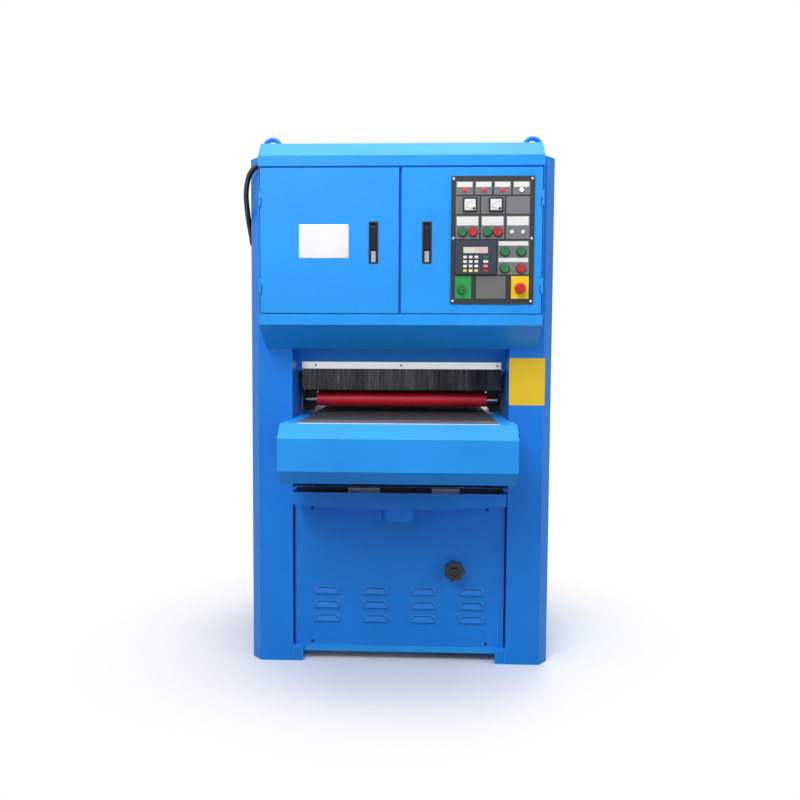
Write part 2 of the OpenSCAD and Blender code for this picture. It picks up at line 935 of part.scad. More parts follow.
module lower_panel() {
  height = lower_panel_top - rail_h;
  places = [for (x = louvre_x_shares, z = louvre_z_shares)
    [x * 2 * lower_half_w, rail_h + z * height]];
  color(panel_blue) at_front() translate([0, lower_panel_y, 0]) difference() {
    union() {
      span([-lower_half_w, lower_half_w], [0, lower_sheet], [rail_h, lower_panel_top]);
      both_sides() span([lower_half_w - lower_sheet, lower_half_w],
        [0, lower_return], [rail_h, lower_panel_top]);
      span([-lower_half_w, lower_half_w], [0, lower_return],
        [lower_panel_top - lower_sheet, lower_panel_top]);
      for (place = places) louvre_hood(place.x, place.y);
    }
    for (place = places) louvre_hollow(place.x, place.y);
    bar_y([-cut, lower_sheet + cut], spindle_d + 2 * free_gap + 2 * free_gap,
      handwheel_x, handwheel_z);
  }
}

// Dust tray: a shallow trough whose floor falls to a round outlet

module dust_tray() {
  tray_rear = lower_panel_y;
  neck_z = outlet_bottom + outlet_l;
  outline = [
    [-outlet_d / 2, neck_z], [outlet_d / 2, neck_z], [tray_half_w, tray_edge],
    [tray_half_w, tray_top], [-tray_half_w, tray_top], [-tray_half_w, tray_edge]
  ];
  color(panel_blue) at_front() {
    difference() {
      union() {
        translate([0, tray_rear, 0]) rotate([90, 0, 0]) linear_extrude(tray_rear - tray_front)
          polygon(outline);
        bar_z([outlet_bottom, neck_z + tray_sheet], outlet_d, 0, outlet_y);
      }
      translate([0, tray_rear - tray_sheet, 0]) rotate([90, 0, 0])
        linear_extrude(tray_rear - tray_front - 2 * tray_sheet)
        polygon(concat(
          [for (i = [0, 1, 2]) drawn_in(outline, tray_sheet)[i]],
          [[tray_half_w - tray_sheet, tray_top + cut], [tray_sheet - tray_half_w, tray_top + cut]],
          [drawn_in(outline, tray_sheet)[5]]));
      bar_z([outlet_bottom - cut, neck_z + tray_sheet + cut], outlet_d - 2 * outlet_wall,
        0, outlet_y);
    }
    both_sides() difference() {
      span([tray_half_w, column_in], [-tray_bracket_d, tray_rear], [tray_top - tray_sheet, tray_top]);
      bar_z([tray_top - tray_sheet - cut, tray_top + cut], tray_hole_d,
        (tray_half_w + column_in) / 2, tray_rear - tray_hole_d);
    }
  }
}

// Conduit: one tube swept along its route, with a ring of points at each place

function route_step(route, i) =
  unit(route[min(i + 1, len(route) - 1)] - route[max(i - 1, 0)]);

function ring_points(centre, along, d, sides) =
  let (
    across = unit(cross(along, [0, 1, 0.2])),
    up = cross(across, along)
  )
  [for (k = [0:sides - 1]) centre + d / 2 * (across * cos(360 * k / sides) + up * sin(360 * k / sides))];

module swept_tube(route, d, sides) {
  rings = len(route);
  points = [for (i = [0:rings - 1]) each ring_points(route[i], route_step(route, i), d, sides)];
  walls = [for (i = [0:rings - 2], k = [0:sides - 1])
    let (a = i * sides + k, b = i * sides + (k + 1) % sides)
    each [[a, b, b + sides], [a, b + sides, a + sides]]];
  start = [for (k = [1:sides - 2]) [0, k + 1, k]];
  last = (rings - 1) * sides;
  end = [for (k = [1:sides - 2]) [last, last + k, last + k + 1]];
  polyhedron(points = points, faces = concat(walls, start, end));
}

module conduit() {
  color(near_black) swept_tube(conduit_route, conduit_d, conduit_sides);
}

// A hexagonal gland body with a round nut where the conduit enters
module gland(d, l) {
  rotate_extrude() polygon([
    [0, 0], [d / 2, 0], [d / 2, l * 2 / 3], [d / 2 - d / 12, l], [0, l]
  ]);
}

module conduit_glands() {
  last = len(conduit_route) - 1;
  lower_end = conduit_route[last];
  along = route_step(conduit_route, last);
  elbow = lower_end + along * (gland_l + gland_d / 2);
  color(near_black) {
    translate([-cabinet_w / 2, conduit_route[0].y, conduit_route[0].z]) rotate([0, -90, 0])
      gland(gland_d, -conduit_route[0].x - cabinet_w / 2);
    translate(elbow + along * gland_stub_d / 2) multmatrix(elbow_frame(-along))
      gland(gland_d, gland_l + (gland_d + gland_stub_d) / 2);
    translate([-column_out, elbow.y, elbow.z]) rotate([0, -90, 0])
      cylinder(h = -elbow.x - column_out, d = gland_stub_d);
  }
}

// A rotation that turns the z direction to the given one
function elbow_frame(along) =
  let (across = unit(cross([0, 1, 0.2], along)), up = cross(along, across))
  [[across.x, up.x, along.x, 0], [across.y, up.y, along.y, 0], [across.z, up.z, along.z, 0]];

// Bearings of the working rollers

// A square flange bearing inside the right column, with its bore
module flange_bearing(y, z, bore) {
  difference() {
    union() {
      translate([inner_skin, y, z]) rotate([90, 0, 90])
        round_slab(flange_w, flange_w, flange_t, flange_corner_d);
      bar_x([inner_skin, inner_skin + bearing_l], bearing_od, y, z);
    }
    bar_x([inner_skin - cut, inner_skin + bearing_l + cut], bore + 2 * running_gap, y, z);
    for (a = [-1, 1], b = [-1, 1]) {
      bar_x([inner_skin - cut, inner_skin + flange_t + cut], flange_hole_d,
        y + a * flange_hole_share * flange_w, z + b * flange_hole_share * flange_w);
    }
  }
}

// A hanger plate for a hold-down roller's shaft, with a foot on the column's inner wall
module roller_hanger(y) {
  difference() {
    union() {
      bar_x([hanger_in, hanger_in + hanger_t], hanger_w, y, hold_z);
      span([hanger_in, hanger_in + hanger_t], [y - hanger_w / 2, y + hanger_w / 2],
        [hold_z, hold_z + hanger_l]);
      span([hanger_in, column_in], [y - hanger_w / 2, y + hanger_w / 2],
        [hold_z + hanger_l - hanger_foot, hold_z + hanger_l]);
    }
    bar_x([hanger_in - cut, hanger_in + hanger_t + cut], hold_shaft_d + 2 * running_gap, y, hold_z);
  }
}

module bearing_blocks() {
  color(near_black) at_front() both_sides() {
    flange_bearing(drum_y, drum_z, roller_shaft_d);
    flange_bearing(drum_y, tension_z, roller_shaft_d);
    flange_bearing(brush_y, brush_z, roller_shaft_d);
    roller_hanger(front_hold_y);
    roller_hanger(rear_hold_y);
  }
}

// Head beam: a box section between the columns, inside the abrasive belt's loop

module head_beam() {
  low = beam_z - beam_h / 2;
  high = beam_z + beam_h / 2;
  color(powder_blue) at_front() {
    difference() {
      span([-column_in, column_in], [drum_y - beam_d / 2, drum_y + beam_d / 2], [low, high]);
      span([-column_in - cut, column_in + cut],
        [drum_y - beam_d / 2 + beam_wall, drum_y + beam_d / 2 - beam_wall],
        [low + beam_wall, high - beam_wall]);
    }
    both_sides() for (z = [low - beam_foot, high]) {
      span([column_in - beam_foot_t, column_in], [drum_y - beam_d / 2, drum_y + beam_d / 2],
        [z, z + beam_foot]);
    }
  }
}

// Motors: each has a ribbed body, end caps, a mounting flange and a terminal box

module motor(body_d, body_l, flange_d, box_w) {
  difference() {
    cylinder(h = motor_flange_t, d = flange_d);
    translate([0, 0, -cut]) cylinder(h = 2 * motor_flange_t, d = motor_bore_d);
  }
  difference() {
    translate([0, 0, motor_flange_t]) cylinder(h = body_l - motor_flange_t, d = body_d - 2 * fin_h);
    translate([0, 0, motor_flange_t - cut]) cylinder(h = body_l * motor_bore_share, d = motor_bore_d);
  }
  translate([0, 0, body_l - fan_cover_l]) cylinder(h = fan_cover_l, d = body_d);
  for (k = [0:fin_count - 1]) {
    rotate([0, 0, 360 * k / fin_count])
      translate([body_d / 2 - 2 * fin_h, -fin_w / 2, motor_flange_t])
      cube([2 * fin_h - fin_w, fin_w, body_l - motor_flange_t - fan_cover_l]);
  }
  translate([body_d / 2 - 3 * fin_h, -box_w / 2, motor_flange_t + fin_h])
    cube([3 * fin_h + terminal_h, box_w, box_w]);
}

module head_motors() {
  color(steel_grey) at_front() {
    translate([column_in, motor_y, motor_z]) rotate([0, -90, 0]) motor(motor_d, motor_l, motor_flange_d,
      terminal_w);
    for (angle = [0:90:270]) {
      bar_x([-inner_skin - bearing_l - coupling_gap, -inner_skin], motor_post_d,
        brush_y + motor_post_share * brush_flange_d * cos(angle),
        brush_z + motor_post_share * brush_flange_d * sin(angle));
    }
    translate([-inner_skin - bearing_l - coupling_gap, brush_y, brush_z]) rotate([0, -90, 0])
      motor(brush_motor_d, column_out - inner_skin - bearing_l - coupling_gap - column_sheet
        - coupling_gap, brush_flange_d, small_terminal_w);
  }
}

// Belts

module abrasive_belt() {
  color(grit_brown) at_front() translate([-abrasive_w / 2, drum_y, drum_z]) rotate([90, 0, 90])
    wheel_belt(drum_d, tension_d, tension_z - drum_z, abrasive_t, abrasive_w);
}

module drive_belts() {
  reach = norm([motor_y - drum_y, motor_z - drum_z]);
  tilt = atan2(motor_y - drum_y, motor_z - drum_z);
  color(near_black) at_front() for (x = v_belt_places) {
    translate([x, drum_y, drum_z]) rotate([-tilt, 0, 0]) rotate([90, 0, 90])
      wheel_belt(pulley_d - 2 * groove_deep, motor_pulley_d - 2 * groove_deep, reach,
        groove_deep, v_belt_w);
  }
}

// Rollers

module shaft_roller(half_l, d, shaft_half, shaft_d, y, z) {
  bar_x([-half_l, half_l], d, y, z);
  bar_x([-shaft_half, shaft_half], shaft_d, y, z);
}

// A grooved pulley on the x axis between two places
module pulley(x, d) {
  translate([x[0], 0, 0]) rotate([90, 0, 90]) rotate_extrude() polygon(concat(
    [[0, 0], [d / 2, 0]],
    [for (place = v_belt_places) each [
      [d / 2, place - x[0] - free_gap], [d / 2 - groove_deep, place - x[0] - free_gap],
      [d / 2 - groove_deep, place - x[0] + v_belt_w + free_gap],
      [d / 2, place - x[0] + v_belt_w + free_gap]]],
    [[d / 2, x[1] - x[0]], [0, x[1] - x[0]]]));
}

module contact_drum() {
  color(near_black) at_front() {
    difference() {
      union() {
        bar_x([-roller_w / 2, roller_w / 2], drum_d, drum_y, drum_z);
        bar_x([-inner_skin - bearing_l, pulley_in + pulley_w], roller_shaft_d, drum_y, drum_z);
      }
    }
    translate([0, drum_y, drum_z]) pulley([pulley_in, pulley_in + pulley_w], pulley_d);
  }
}

module tension_roller() {
  color(bare_metal) at_front() shaft_roller(roller_w / 2, tension_d, inner_skin + bearing_l,
    roller_shaft_d, drum_y, tension_z);
}

module brush_roller() {
  wires = brush_d - brush_ring_h * 2;
  color(grit_brown) at_front() {
    bar_x([-roller_w / 2, roller_w / 2], wires, brush_y, brush_z);
    for (k = [0:brush_rings - 1]) {
      pitch = roller_w / brush_rings;
      x = -roller_w / 2 + k * pitch;
      bar_x([x, x + pitch * brush_ring_share], brush_d, brush_y, brush_z);
    }
    bar_x([-inner_skin - bearing_l - coupling_gap - motor_shaft_in, inner_skin + bearing_l],
      roller_shaft_d, brush_y, brush_z);
  }
}

module belt_motor_pulley() {
  color(steel_grey) at_front() translate([0, motor_y, motor_z]) {
    pulley([pulley_in, pulley_in + pulley_w], motor_pulley_d);
    bar_x([column_in - motor_shaft_in, pulley_in], motor_shaft_d, 0, 0);
  }
}

module hold_down_roller(y) {
  bar_x([-hold_half_l, hold_half_l], hold_down_d, y, hold_z);
  bar_x([-hanger_in - hanger_t, hanger_in + hanger_t], hold_shaft_d, y, hold_z);
}

module front_hold_down_roller() {
  color(roller_red) at_front() hold_down_roller(front_hold_y);
}

module rear_hold_down_roller() {
  color(roller_red) at_front() hold_down_roller(rear_hold_y);
}

// Conveyor table

// The places of the four lift screws, as (x, y)
screw_places = [
  [-screw_x, screw_front_y], [screw_x, screw_front_y],
  [-screw_x, screw_rear_y], [screw_x, screw_rear_y]
];

module table_frame() {
  flange_out = web_in + channel_flange + channel_t;
  color(powder_blue) at_front() {
    both_sides() difference() {
      union() {
        span([web_in, web_out], [table_front_y, table_rear_y], [channel_bottom, channel_top]);
        for (z = [channel_bottom, channel_top - channel_t]) {
          span([web_in, flange_out], [table_front_y, table_rear_y], [z, z + channel_t]);
        }
        for (y = [-nose_y, drive_y]) {
          bar_x([web_in, web_out + axle_flange_t], axle_flange_d, y, roller_z);
        }
        for (y = [screw_front_y, screw_rear_y]) {
          bar_z([channel_bottom + channel_t, channel_bottom + nut_h], nut_d, screw_x, y);
        }
      }
      for (y = [-nose_y, drive_y]) {
        bar_x([web_in - cut, web_out + axle_flange_t + cut], axle_d + 2 * running_gap, y, roller_z);
      }
      for (y = [screw_front_y, screw_rear_y]) {
        bar_z([channel_bottom - cut, channel_bottom + nut_h + cut],
          screw_d + 2 * running_gap, screw_x, y);
      }
    }
    span([-bed_w / 2, bed_w / 2], [-bed_front, bed_rear], [bed_top - bed_t, bed_top]);
    for (share = cross_member_shares) {
      y = -bed_front + share * (bed_rear + bed_front);
      span([-web_in, web_in], [y - cross_member_w / 2, y + cross_member_w / 2],
        [bed_top - bed_t - cross_member_h, bed_top - bed_t]);
    }
  }
}

// The cover's outer face from the rear edge of its top to its tail, as (y, z)
table_cover_path = [
  [cover_rear_y, table_cover_top], [cover_slope_y, table_cover_top],
  [-table_reach, table_cover_top - cover_slope_drop], [-table_reach, cover_chin_z],
  [cover_tail_y, cover_tail_z], [cover_tail_y, cover_tail_z + cover_return]
];

module table_cover() {
  last = len(table_cover_path) - 1;
  cheek = concat([[cheek_rear_y, table_cover_top]], [for (i = [1:last]) table_cover_path[i]],
    [[cheek_rear_y, table_cover_path[last].y]]);
  half_w = table_cover_w / 2;
  color(powder_blue) at_front() {
    along_x([-half_w, half_w]) polygon(folded(table_cover_path, table_sheet));
    both_sides() along_x([half_w - table_sheet, half_w]) polygon(cheek);
  }
}

module infeed_plate() {
  color(bare_metal) at_front() span([-infeed_w / 2, infeed_w / 2], [cover_slope_y, infeed_rear_y],
    [table_cover_top, belt_z]);
}

module conveyor_belt() {
  reach = drive_y + nose_y;
  color(belt_grey) at_front() translate([-belt_w / 2, drive_y, roller_z]) rotate([90, 0, 90])
    rotate([0, 0, 90]) wheel_belt(conveyor_roller_d, conveyor_roller_d, reach, belt_t, belt_w);
}

// A crowned roller with a shaft that runs in both webs
module conveyor_roller(y) {
  bar_x([-belt_w / 2, belt_w / 2], conveyor_roller_d, y, roller_z);
  bar_x([-web_out - axle_flange_t, web_out + axle_flange_t], axle_d, y, roller_z);
}

module drive_roller() {
  color(near_black) at_front() conveyor_roller(drive_y);
}

module nose_roller() {
  color(bare_metal) at_front() conveyor_roller(-nose_y);
}

// Lift screws: a threaded stem shown as its outside, and a toothed sprocket

module lift_screw(place) {
  color(bare_metal) at_front() {
    bar_z([screw_bottom_z, screw_top_z], screw_d, place.x, place.y);
    translate([place.x, place.y, sprocket_z]) sprocket();
  }
}

module sprocket() {
  cylinder(h = sprocket_h, d = sprocket_d - 2 * tooth_h);
  for (k = [0:sprocket_teeth - 1]) {
    rotate([0, 0, 360 * k / sprocket_teeth])
      translate([0, -tooth_w / 2, (sprocket_h - tooth_t) / 2])
      cube([sprocket_d / 2, tooth_w, tooth_t]);
  }
}

// Drives in the base

// A screw's foot bearing stands on the base rail
module foot_bearing(place) {
  difference() {
    span([place.x - lift_bearing_w / 2, place.x + lift_bearing_w / 2],
      [place.y - lift_bearing_w / 2 - foot_lug, place.y + lift_bearing_w / 2 + foot_lug],
      [rail_h, rail_h + foot_lug]);
    bar_z([screw_bottom_z, rail_h + lift_bearing_h + cut], screw_d + 2 * running_gap,
      place.x, place.y);
  }
  difference() {
    bar_z([rail_h, rail_h + lift_bearing_h], lift_bearing_w, place.x, place.y);
    bar_z([screw_bottom_z, rail_h + lift_bearing_h + cut], screw_d + 2 * running_gap,
      place.x, place.y);
  }
}

module lift_chain() {
  out = sprocket_d + 2 * (free_gap + chain_t);
  in = sprocket_d + 2 * free_gap;
  span_x = 2 * screw_x;
  span_y = screw_rear_y - screw_front_y;
  translate([0, (screw_front_y + screw_rear_y) / 2, sprocket_z + (sprocket_h - chain_h) / 2])
    difference() {
      round_slab(span_x + out, span_y + out, chain_h, out);
      translate([0, 0, -cut]) round_slab(span_x + in, span_y + in, chain_h + 2 * cut, in);
    }
}

module base_drives() {
  middle = (gearbox_left + gearbox_right) / 2;
  color(near_black) at_front() {
    for (place = screw_places) foot_bearing(place);
    difference() {
      span([-column_in, column_in], [bridge_front, bridge_rear], [bridge_z, bridge_z + bridge_t]);
      both_sides() bar_z([bridge_z - cut, bridge_z + bridge_t + cut], nut_d, screw_x, screw_front_y);
    }
    both_sides() span([column_in - bridge_t, column_in], [bridge_front, bridge_rear],
      [bridge_z - beam_foot, bridge_z]);
    difference() {
      span([gearbox_left, gearbox_right], [bridge_front, bridge_front + gearbox_depth],
        [bridge_z + bridge_t, bridge_z + bridge_t + gearbox_h]);
      span([gearbox_left - cut, gearbox_right + cut], [bridge_front - cut, bridge_front + gearbox_step],
        [bridge_z + bridge_t + gearbox_h - gearbox_step, bridge_z + bridge_t + gearbox_h + cut]);
    }
    bar_y([bridge_front + gearbox_depth, bridge_rear], gear_motor_d, middle,
      bridge_z + bridge_t + gearbox_h / 2);
    bar_z([sprocket_z, bridge_z], motor_shaft_d, middle, chain_drive_y);
    translate([middle, chain_drive_y, sprocket_z])
      cylinder(h = sprocket_h, d = sprocket_d);
    for (x = [side_plate_left, side_plate_right]) {
      span(x, [bridge_front + gearbox_depth / 2, bridge_front + gearbox_depth / 2 + bridge_t],
        [bridge_z + bridge_t, bridge_z + bridge_t + plate_h]);
    }
    lift_chain();
    variator();
  }
}

// The conveyor's variable speed drive stands on the front cross rail, behind the handwheel
module variator() {
  front = lower_panel_y + lower_return + coupling_gap;
  foot_y = cross_rail_places[0] * body_d;
  foot_top = handwheel_z - variator_d / 2 + bridge_t / 2;
  x = [handwheel_x - variator_d / 2, handwheel_x + variator_d / 2];
  difference() {
    bar_y([front, front + variator_l], variator_d, handwheel_x, handwheel_z);
    bar_y([front - cut, front + spindle_in], spindle_d + 2 * running_gap, handwheel_x, handwheel_z);
  }
  span(x, [front, front + variator_l], [foot_top - bridge_t, foot_top]);
  for (y = [front, front + variator_l - bridge_t]) {
    span(x, [y, y + bridge_t], [rail_h, foot_top]);
  }
  span(x, [foot_y, front + variator_l], [rail_h, rail_h + bridge_t]);
}

module speed_handwheel() {
  color(near_black) at_front() {
    difference() {
      union() {
        bar_y([handwheel_y - handwheel_t, handwheel_y], handwheel_d - lobe_d * 3 / 5,
          handwheel_x, handwheel_z);
        for (k = [0:handwheel_lobes - 1]) {
          angle = 360 * k / handwheel_lobes;
          bar_y([handwheel_y - handwheel_t, handwheel_y], lobe_d,
            handwheel_x + (handwheel_d - lobe_d) / 2 * cos(angle),
            handwheel_z + (handwheel_d - lobe_d) / 2 * sin(angle));
        }
      }
      bar_y([handwheel_y - handwheel_t - cut, handwheel_y - handwheel_t + handwheel_dish],
        handwheel_hub_d, handwheel_x, handwheel_z);
    }
    bar_y([handwheel_y - cut, lower_panel_y + lower_return + coupling_gap + spindle_in - cut],
      spindle_d, handwheel_x, handwheel_z);
  }
}

// Doors

// The door's outline as (x, z) pairs, and its pan with flanges all round
module door_pan() {
  face = -cabinet_d;
  x = [door_gap / 2, door_edge_x];
  z = [door_bottom_z, door_top_z];
  difference() {
    span(x, [face, face + door_d], z);
    span([x[0] + door_sheet, x[1] - door_sheet], [face + door_sheet, face + door_d + cut],
      [z[0] + door_sheet, z[1] - door_sheet]);
  }
}

// The slot beside a hinge, and the door's own knuckle in the upper half of it
module hinge_slot(z) {
  reach = barrel_d / 2 + barrel_slot_gap;
  span([hinge_x - reach, hinge_x], [-cabinet_d - cut, -cabinet_d + door_d + cut],
    [z - barrel_l / 2 - barrel_slot_gap, z + barrel_l / 2 + barrel_slot_gap]);
}

module door_knuckle(z) {
  low = z + barrel_gap;
  high = z + barrel_l / 2;
  difference() {
    union() {
      bar_z([low, high], barrel_d, hinge_x, hinge_y);
      span([hinge_x - barrel_d / 2 - barrel_slot_gap - door_sheet, hinge_x - hinge_pin_d / 2],
        [-cabinet_d, -cabinet_d + door_sheet], [low, high]);
    }
    bar_z([low - cut, high + cut], hinge_pin_d + 2 * running_gap, hinge_x, hinge_y);
  }
}

// The hole in a door for its latch tray
module latch_cutout() {
  span([latch_x - latch_w / 2 + latch_flange, latch_x + latch_w / 2 - latch_flange],
    [-cabinet_d - cut, -cabinet_d + door_sheet + cut],
    [latch_z - latch_h / 2 + latch_flange, latch_z + latch_h / 2 - latch_flange]);
}

module hinged_door() {
  difference() {
    door_pan();
    for (z = [hinge_low_z, hinge_high_z]) hinge_slot(z);
    latch_cutout();
  }
  for (z = [hinge_low_z, hinge_high_z]) door_knuckle(z);
}

module left_door() {
  color(powder_blue) at_front() mirror([1, 0, 0]) hinged_door();
}

module right_door() {
  color(powder_blue) at_front() difference() {
    hinged_door();
    span([panel_left + window_lap, panel_left + panel_w - window_lap],
      [-cabinet_d - cut, -cabinet_d + door_sheet + cut],
      [panel_top - panel_h + window_lap, panel_top - window_lap]);
  }
}

// Latches, drawn for the right door

lever_top = latch_z + latch_h / 2 - latch_flange - latch_wall - free_gap - free_gap;
lever_bottom = lever_top - lever_share * latch_h;
lever_pin_z = lever_top - lever_end;
lever_face = -cabinet_d - latch_flange_t;
lever_axis_y = lever_face + lever_t / 2;
lock_bottom = latch_z - latch_h / 2 + latch_flange + latch_wall + free_gap + free_gap;

module latch_tray() {
  low = latch_z - latch_h / 2;
  high = latch_z + latch_h / 2;
  body_half = latch_w / 2 - latch_flange - latch_fit;
  pocket_x = [latch_x - latch_w / 2 + latch_flange + latch_wall,
    latch_x + latch_w / 2 - latch_flange - latch_wall];
  difference() {
    union() {
      span([latch_x - latch_w / 2, latch_x + latch_w / 2], [-cabinet_d - latch_flange_t, -cabinet_d],
        [low, high]);
      span([latch_x - body_half, latch_x + body_half],
        [-cabinet_d - latch_flange_t, -cabinet_d + latch_depth],
        [low + latch_flange + latch_fit, high - latch_flange - latch_fit]);
      bar_y([-cabinet_d + latch_depth - cut, -cabinet_d + latch_depth + cam_l], cam_d, latch_x,
        latch_z + cam_rise);
      span([latch_x - cam_reach, latch_x + cam_d / 2],
        [-cabinet_d + latch_depth + cam_l - cam_t, -cabinet_d + latch_depth + cam_l],
        [latch_z + cam_rise - cam_d / 2, latch_z + cam_rise + cam_d / 2]);
    }
    span(pocket_x, [-cabinet_d - latch_flange_t - cut, -cabinet_d + latch_depth - latch_wall],
      [low + latch_flange + latch_wall, high - latch_flange - latch_wall]);
    bar_x([pocket_x[0] - latch_wall / 2, pocket_x[1] + latch_wall / 2],
      lever_pin_d + 2 * running_gap, lever_axis_y, lever_pin_z);
  }
}

module latch_lever() {
  pin_half = latch_w / 2 - latch_flange - latch_wall / 2 - running_gap;
  difference() {
    union() {
      span([latch_x - lever_w / 2, latch_x + lever_w / 2], [lever_face, lever_face + lever_t],
        [lever_bottom, lever_pin_z]);
      bar_x([latch_x - lever_w / 2, latch_x + lever_w / 2], lever_t, lever_axis_y, lever_pin_z);
      bar_x([latch_x - pin_half, latch_x + pin_half], lever_pin_d, lever_axis_y, lever_pin_z);
    }
    span([latch_x - lever_w / 2 + lever_rib, latch_x + lever_w / 2 - lever_rib],
      [lever_face + lever_rib, lever_face + lever_t + cut],
      [lever_bottom + lever_rib, lever_pin_z - lever_end]);
  }
}

// The lock's chrome push button with its round key barrel
module latch_lock() {
  front = -cabinet_d - latch_flange_t - lock_proud;
  difference() {
    span([latch_x - lock_w / 2, latch_x + lock_w / 2], [front, front + lock_deep],
      [lock_bottom, lock_bottom + lock_h]);
    bar_y([front - cut, front + key_recess], key_d, latch_x, lock_bottom + lock_h / 2);
  }
  difference() {
    bar_y([front + lock_proud, front + key_recess + lock_proud], key_d - lock_proud, latch_x,
      lock_bottom + lock_h / 2);
    span([latch_x - key_slot_w / 2, latch_x + key_slot_w / 2], [front - cut, front + key_recess + cut],
      [lock_bottom + lock_h / 2 - key_d / 4, lock_bottom + lock_h / 2 + key_d / 4]);
  }
}

module left_latch_tray() {
  color(near_black) at_front() mirror([1, 0, 0]) latch_tray();
}

module right_latch_tray() {
  color(near_black) at_front() latch_tray();
}

module left_latch_lever() {
  color(near_black) at_front() mirror([1, 0, 0]) latch_lever();
}

module right_latch_lever() {
  color(near_black) at_front() latch_lever();
}

module left_latch_lock() {
  color(bare_metal) at_front() mirror([1, 0, 0]) latch_lock();
}

module right_latch_lock() {
  color(bare_metal) at_front() latch_lock();
}

// Control panel

// Distance of a row's top from the panel's top, and its height
function row_h(i) = row_height_shares[i] * (panel_h - 2 * panel_top_margin - row_gaps * module_gap)
  / sum_to(row_height_shares, len(row_height_shares));
function row_top(i) = panel_top_margin + i * module_gap
  + (i > 0 ? sum_to([for (k = [0:i - 1]) row_h(k)], i) : 0);

// A place on the panel, as (x, z): a share of its width and a share of a row's height
function panel_place(x_share, row, z_share) =
  [panel_left + x_share * panel_w, panel_top - row_top(row) - z_share * row_h(row)];

// The modules of each row, as pairs of shares of the width between the side margins
module_shares = [
  [[0, 0.25], [0.25, 0.5], [0.5, 0.75], [0.75, 1]],
  [[0, 1 / 3], [1 / 3, 2 / 3], [2 / 3, 1]],
  [[0, 1 / 3], [1 / 3, 2 / 3], [2 / 3, 1]],
  [[0, 0.56], [0.56, 1]],
  [[0, 0.235], [0.28, 0.692], [0.745, 1]]
];

// The outline of one module on the panel's face, smaller by a gap on each side
function module_x(pair) =
  let (w = panel_w - 2 * panel_side_margin + module_gap, left = panel_left + panel_side_margin)
  [left + pair[0] * w, left + pair[1] * w - module_gap];
function module_z(row) = [panel_top - row_top(row) - row_h(row), panel_top - row_top(row)];

button_places = [
  panel_place(0.135, 2, 0.70), panel_place(0.262, 2, 0.70),
  panel_place(0.439, 2, 0.70), panel_place(0.564, 2, 0.70),
  panel_place(0.652, 3, 0.326), panel_place(0.848, 3, 0.326),
  panel_place(0.652, 3, 0.826), panel_place(0.848, 3, 0.826)
];
lamp_places = [for (k = [0:3]) panel_place(0.16 + k * 0.227, 0, 0.66)];
meter_places = [panel_place(0.225, 1, 0.48), panel_place(0.536, 1, 0.48)];
plug_places = [panel_place(0.732, 2, 0.70), panel_place(0.866, 2, 0.70)];
selector_place = panel_place(0.135, 4, 0.60);
stop_place = panel_place(0.836, 4, 0.56);

// A dark bezel with one pocket for each module, on the door's face
module control_panel() {
  z = [panel_top - panel_h, panel_top];
  color(near_black) at_front() difference() {
    span([panel_left, panel_left + panel_w], [-cabinet_d - bezel_t, -cabinet_d], z);
    for (row = [0:row_gaps], pair = module_shares[row]) {
      span(module_x(pair) + [-module_clear, module_clear],
        [-cabinet_d - bezel_t - cut, -cabinet_d + cut],
        module_z(row) + [-module_clear, module_clear]);
    }
  }
}

// A module's face stands in its pocket, and its body passes through the door
module panel_module(row, pair) {
  x = module_x(pair);
  z = module_z(row);
  span(x, [module_face_y, -cabinet_d], z);
  span(x + [module_inset, -module_inset], [-cabinet_d, -cabinet_d + module_deep],
    z + [module_inset, -module_inset]);
}

module bore_at(place, d) {
  bar_y([module_face_y - cut, -cabinet_d + module_deep + cut], d, place.x, place.y);
}

// A guard ring round a button or the selector
module collar(place, d, h) {
  difference() {
    bar_y([module_face_y - h, module_face_y], d + 2 * button_clear + 2 * collar_wall, place.x, place.y);
    bar_y([module_face_y - h - cut, module_face_y + cut], d + 2 * button_clear, place.x, place.y);
  }
}

module panel_modules() {
  color(module_grey) at_front() {
    difference() {
      for (row = [0:row_gaps], pair = module_shares[row]) panel_module(row, pair);
      for (place = button_places) bore_at(place, stem_d + 2 * running_gap);
      bore_at(stop_place, stem_d + 2 * running_gap);
      bore_at(selector_place, stem_d + 2 * running_gap);
    }
    for (place = button_places) collar(place, button_d, collar_h);
    collar(selector_place, selector_d, selector_t / 2);
    difference() {
      bar_y([module_face_y - stop_collar_h, module_face_y], stop_collar_d, stop_place.x, stop_place.y);
      bar_y([module_face_y - stop_collar_h - cut, module_face_y + cut], stem_d + 2 * running_gap,
        stop_place.x, stop_place.y);
    }
  }
}

// Round pieces on the panel point out of its face; their z axis runs forward
module on_panel(place) {
  translate([place.x, module_face_y, place.y]) rotate([90, 0, 0]) children();
}

module panel_instruments() {
  color(steel_grey) at_front() {
    for (place = lamp_places) on_panel(place) rotate_extrude() polygon([
      [0, 0], [lamp_d / 2, 0], [lamp_d / 2, lamp_h / 2], [lamp_d / 4, lamp_h], [0, lamp_h]
    ]);
    for (place = meter_places) on_panel(place) difference() {
      translate([-meter_size / 2, -meter_size / 2, 0]) cube([meter_size, meter_size, meter_t]);
      translate([-meter_window / 2, -meter_window / 2, meter_t - meter_window_t])
        cube([meter_window, meter_window, meter_window_t + cut]);
    }
    for (place = plug_places) on_panel(place) {
      cylinder(h = plug_h / 2, d = plug_d);
      cylinder(h = plug_h, d = plug_d * 2 / 3);
    }
    controller();
  }
}

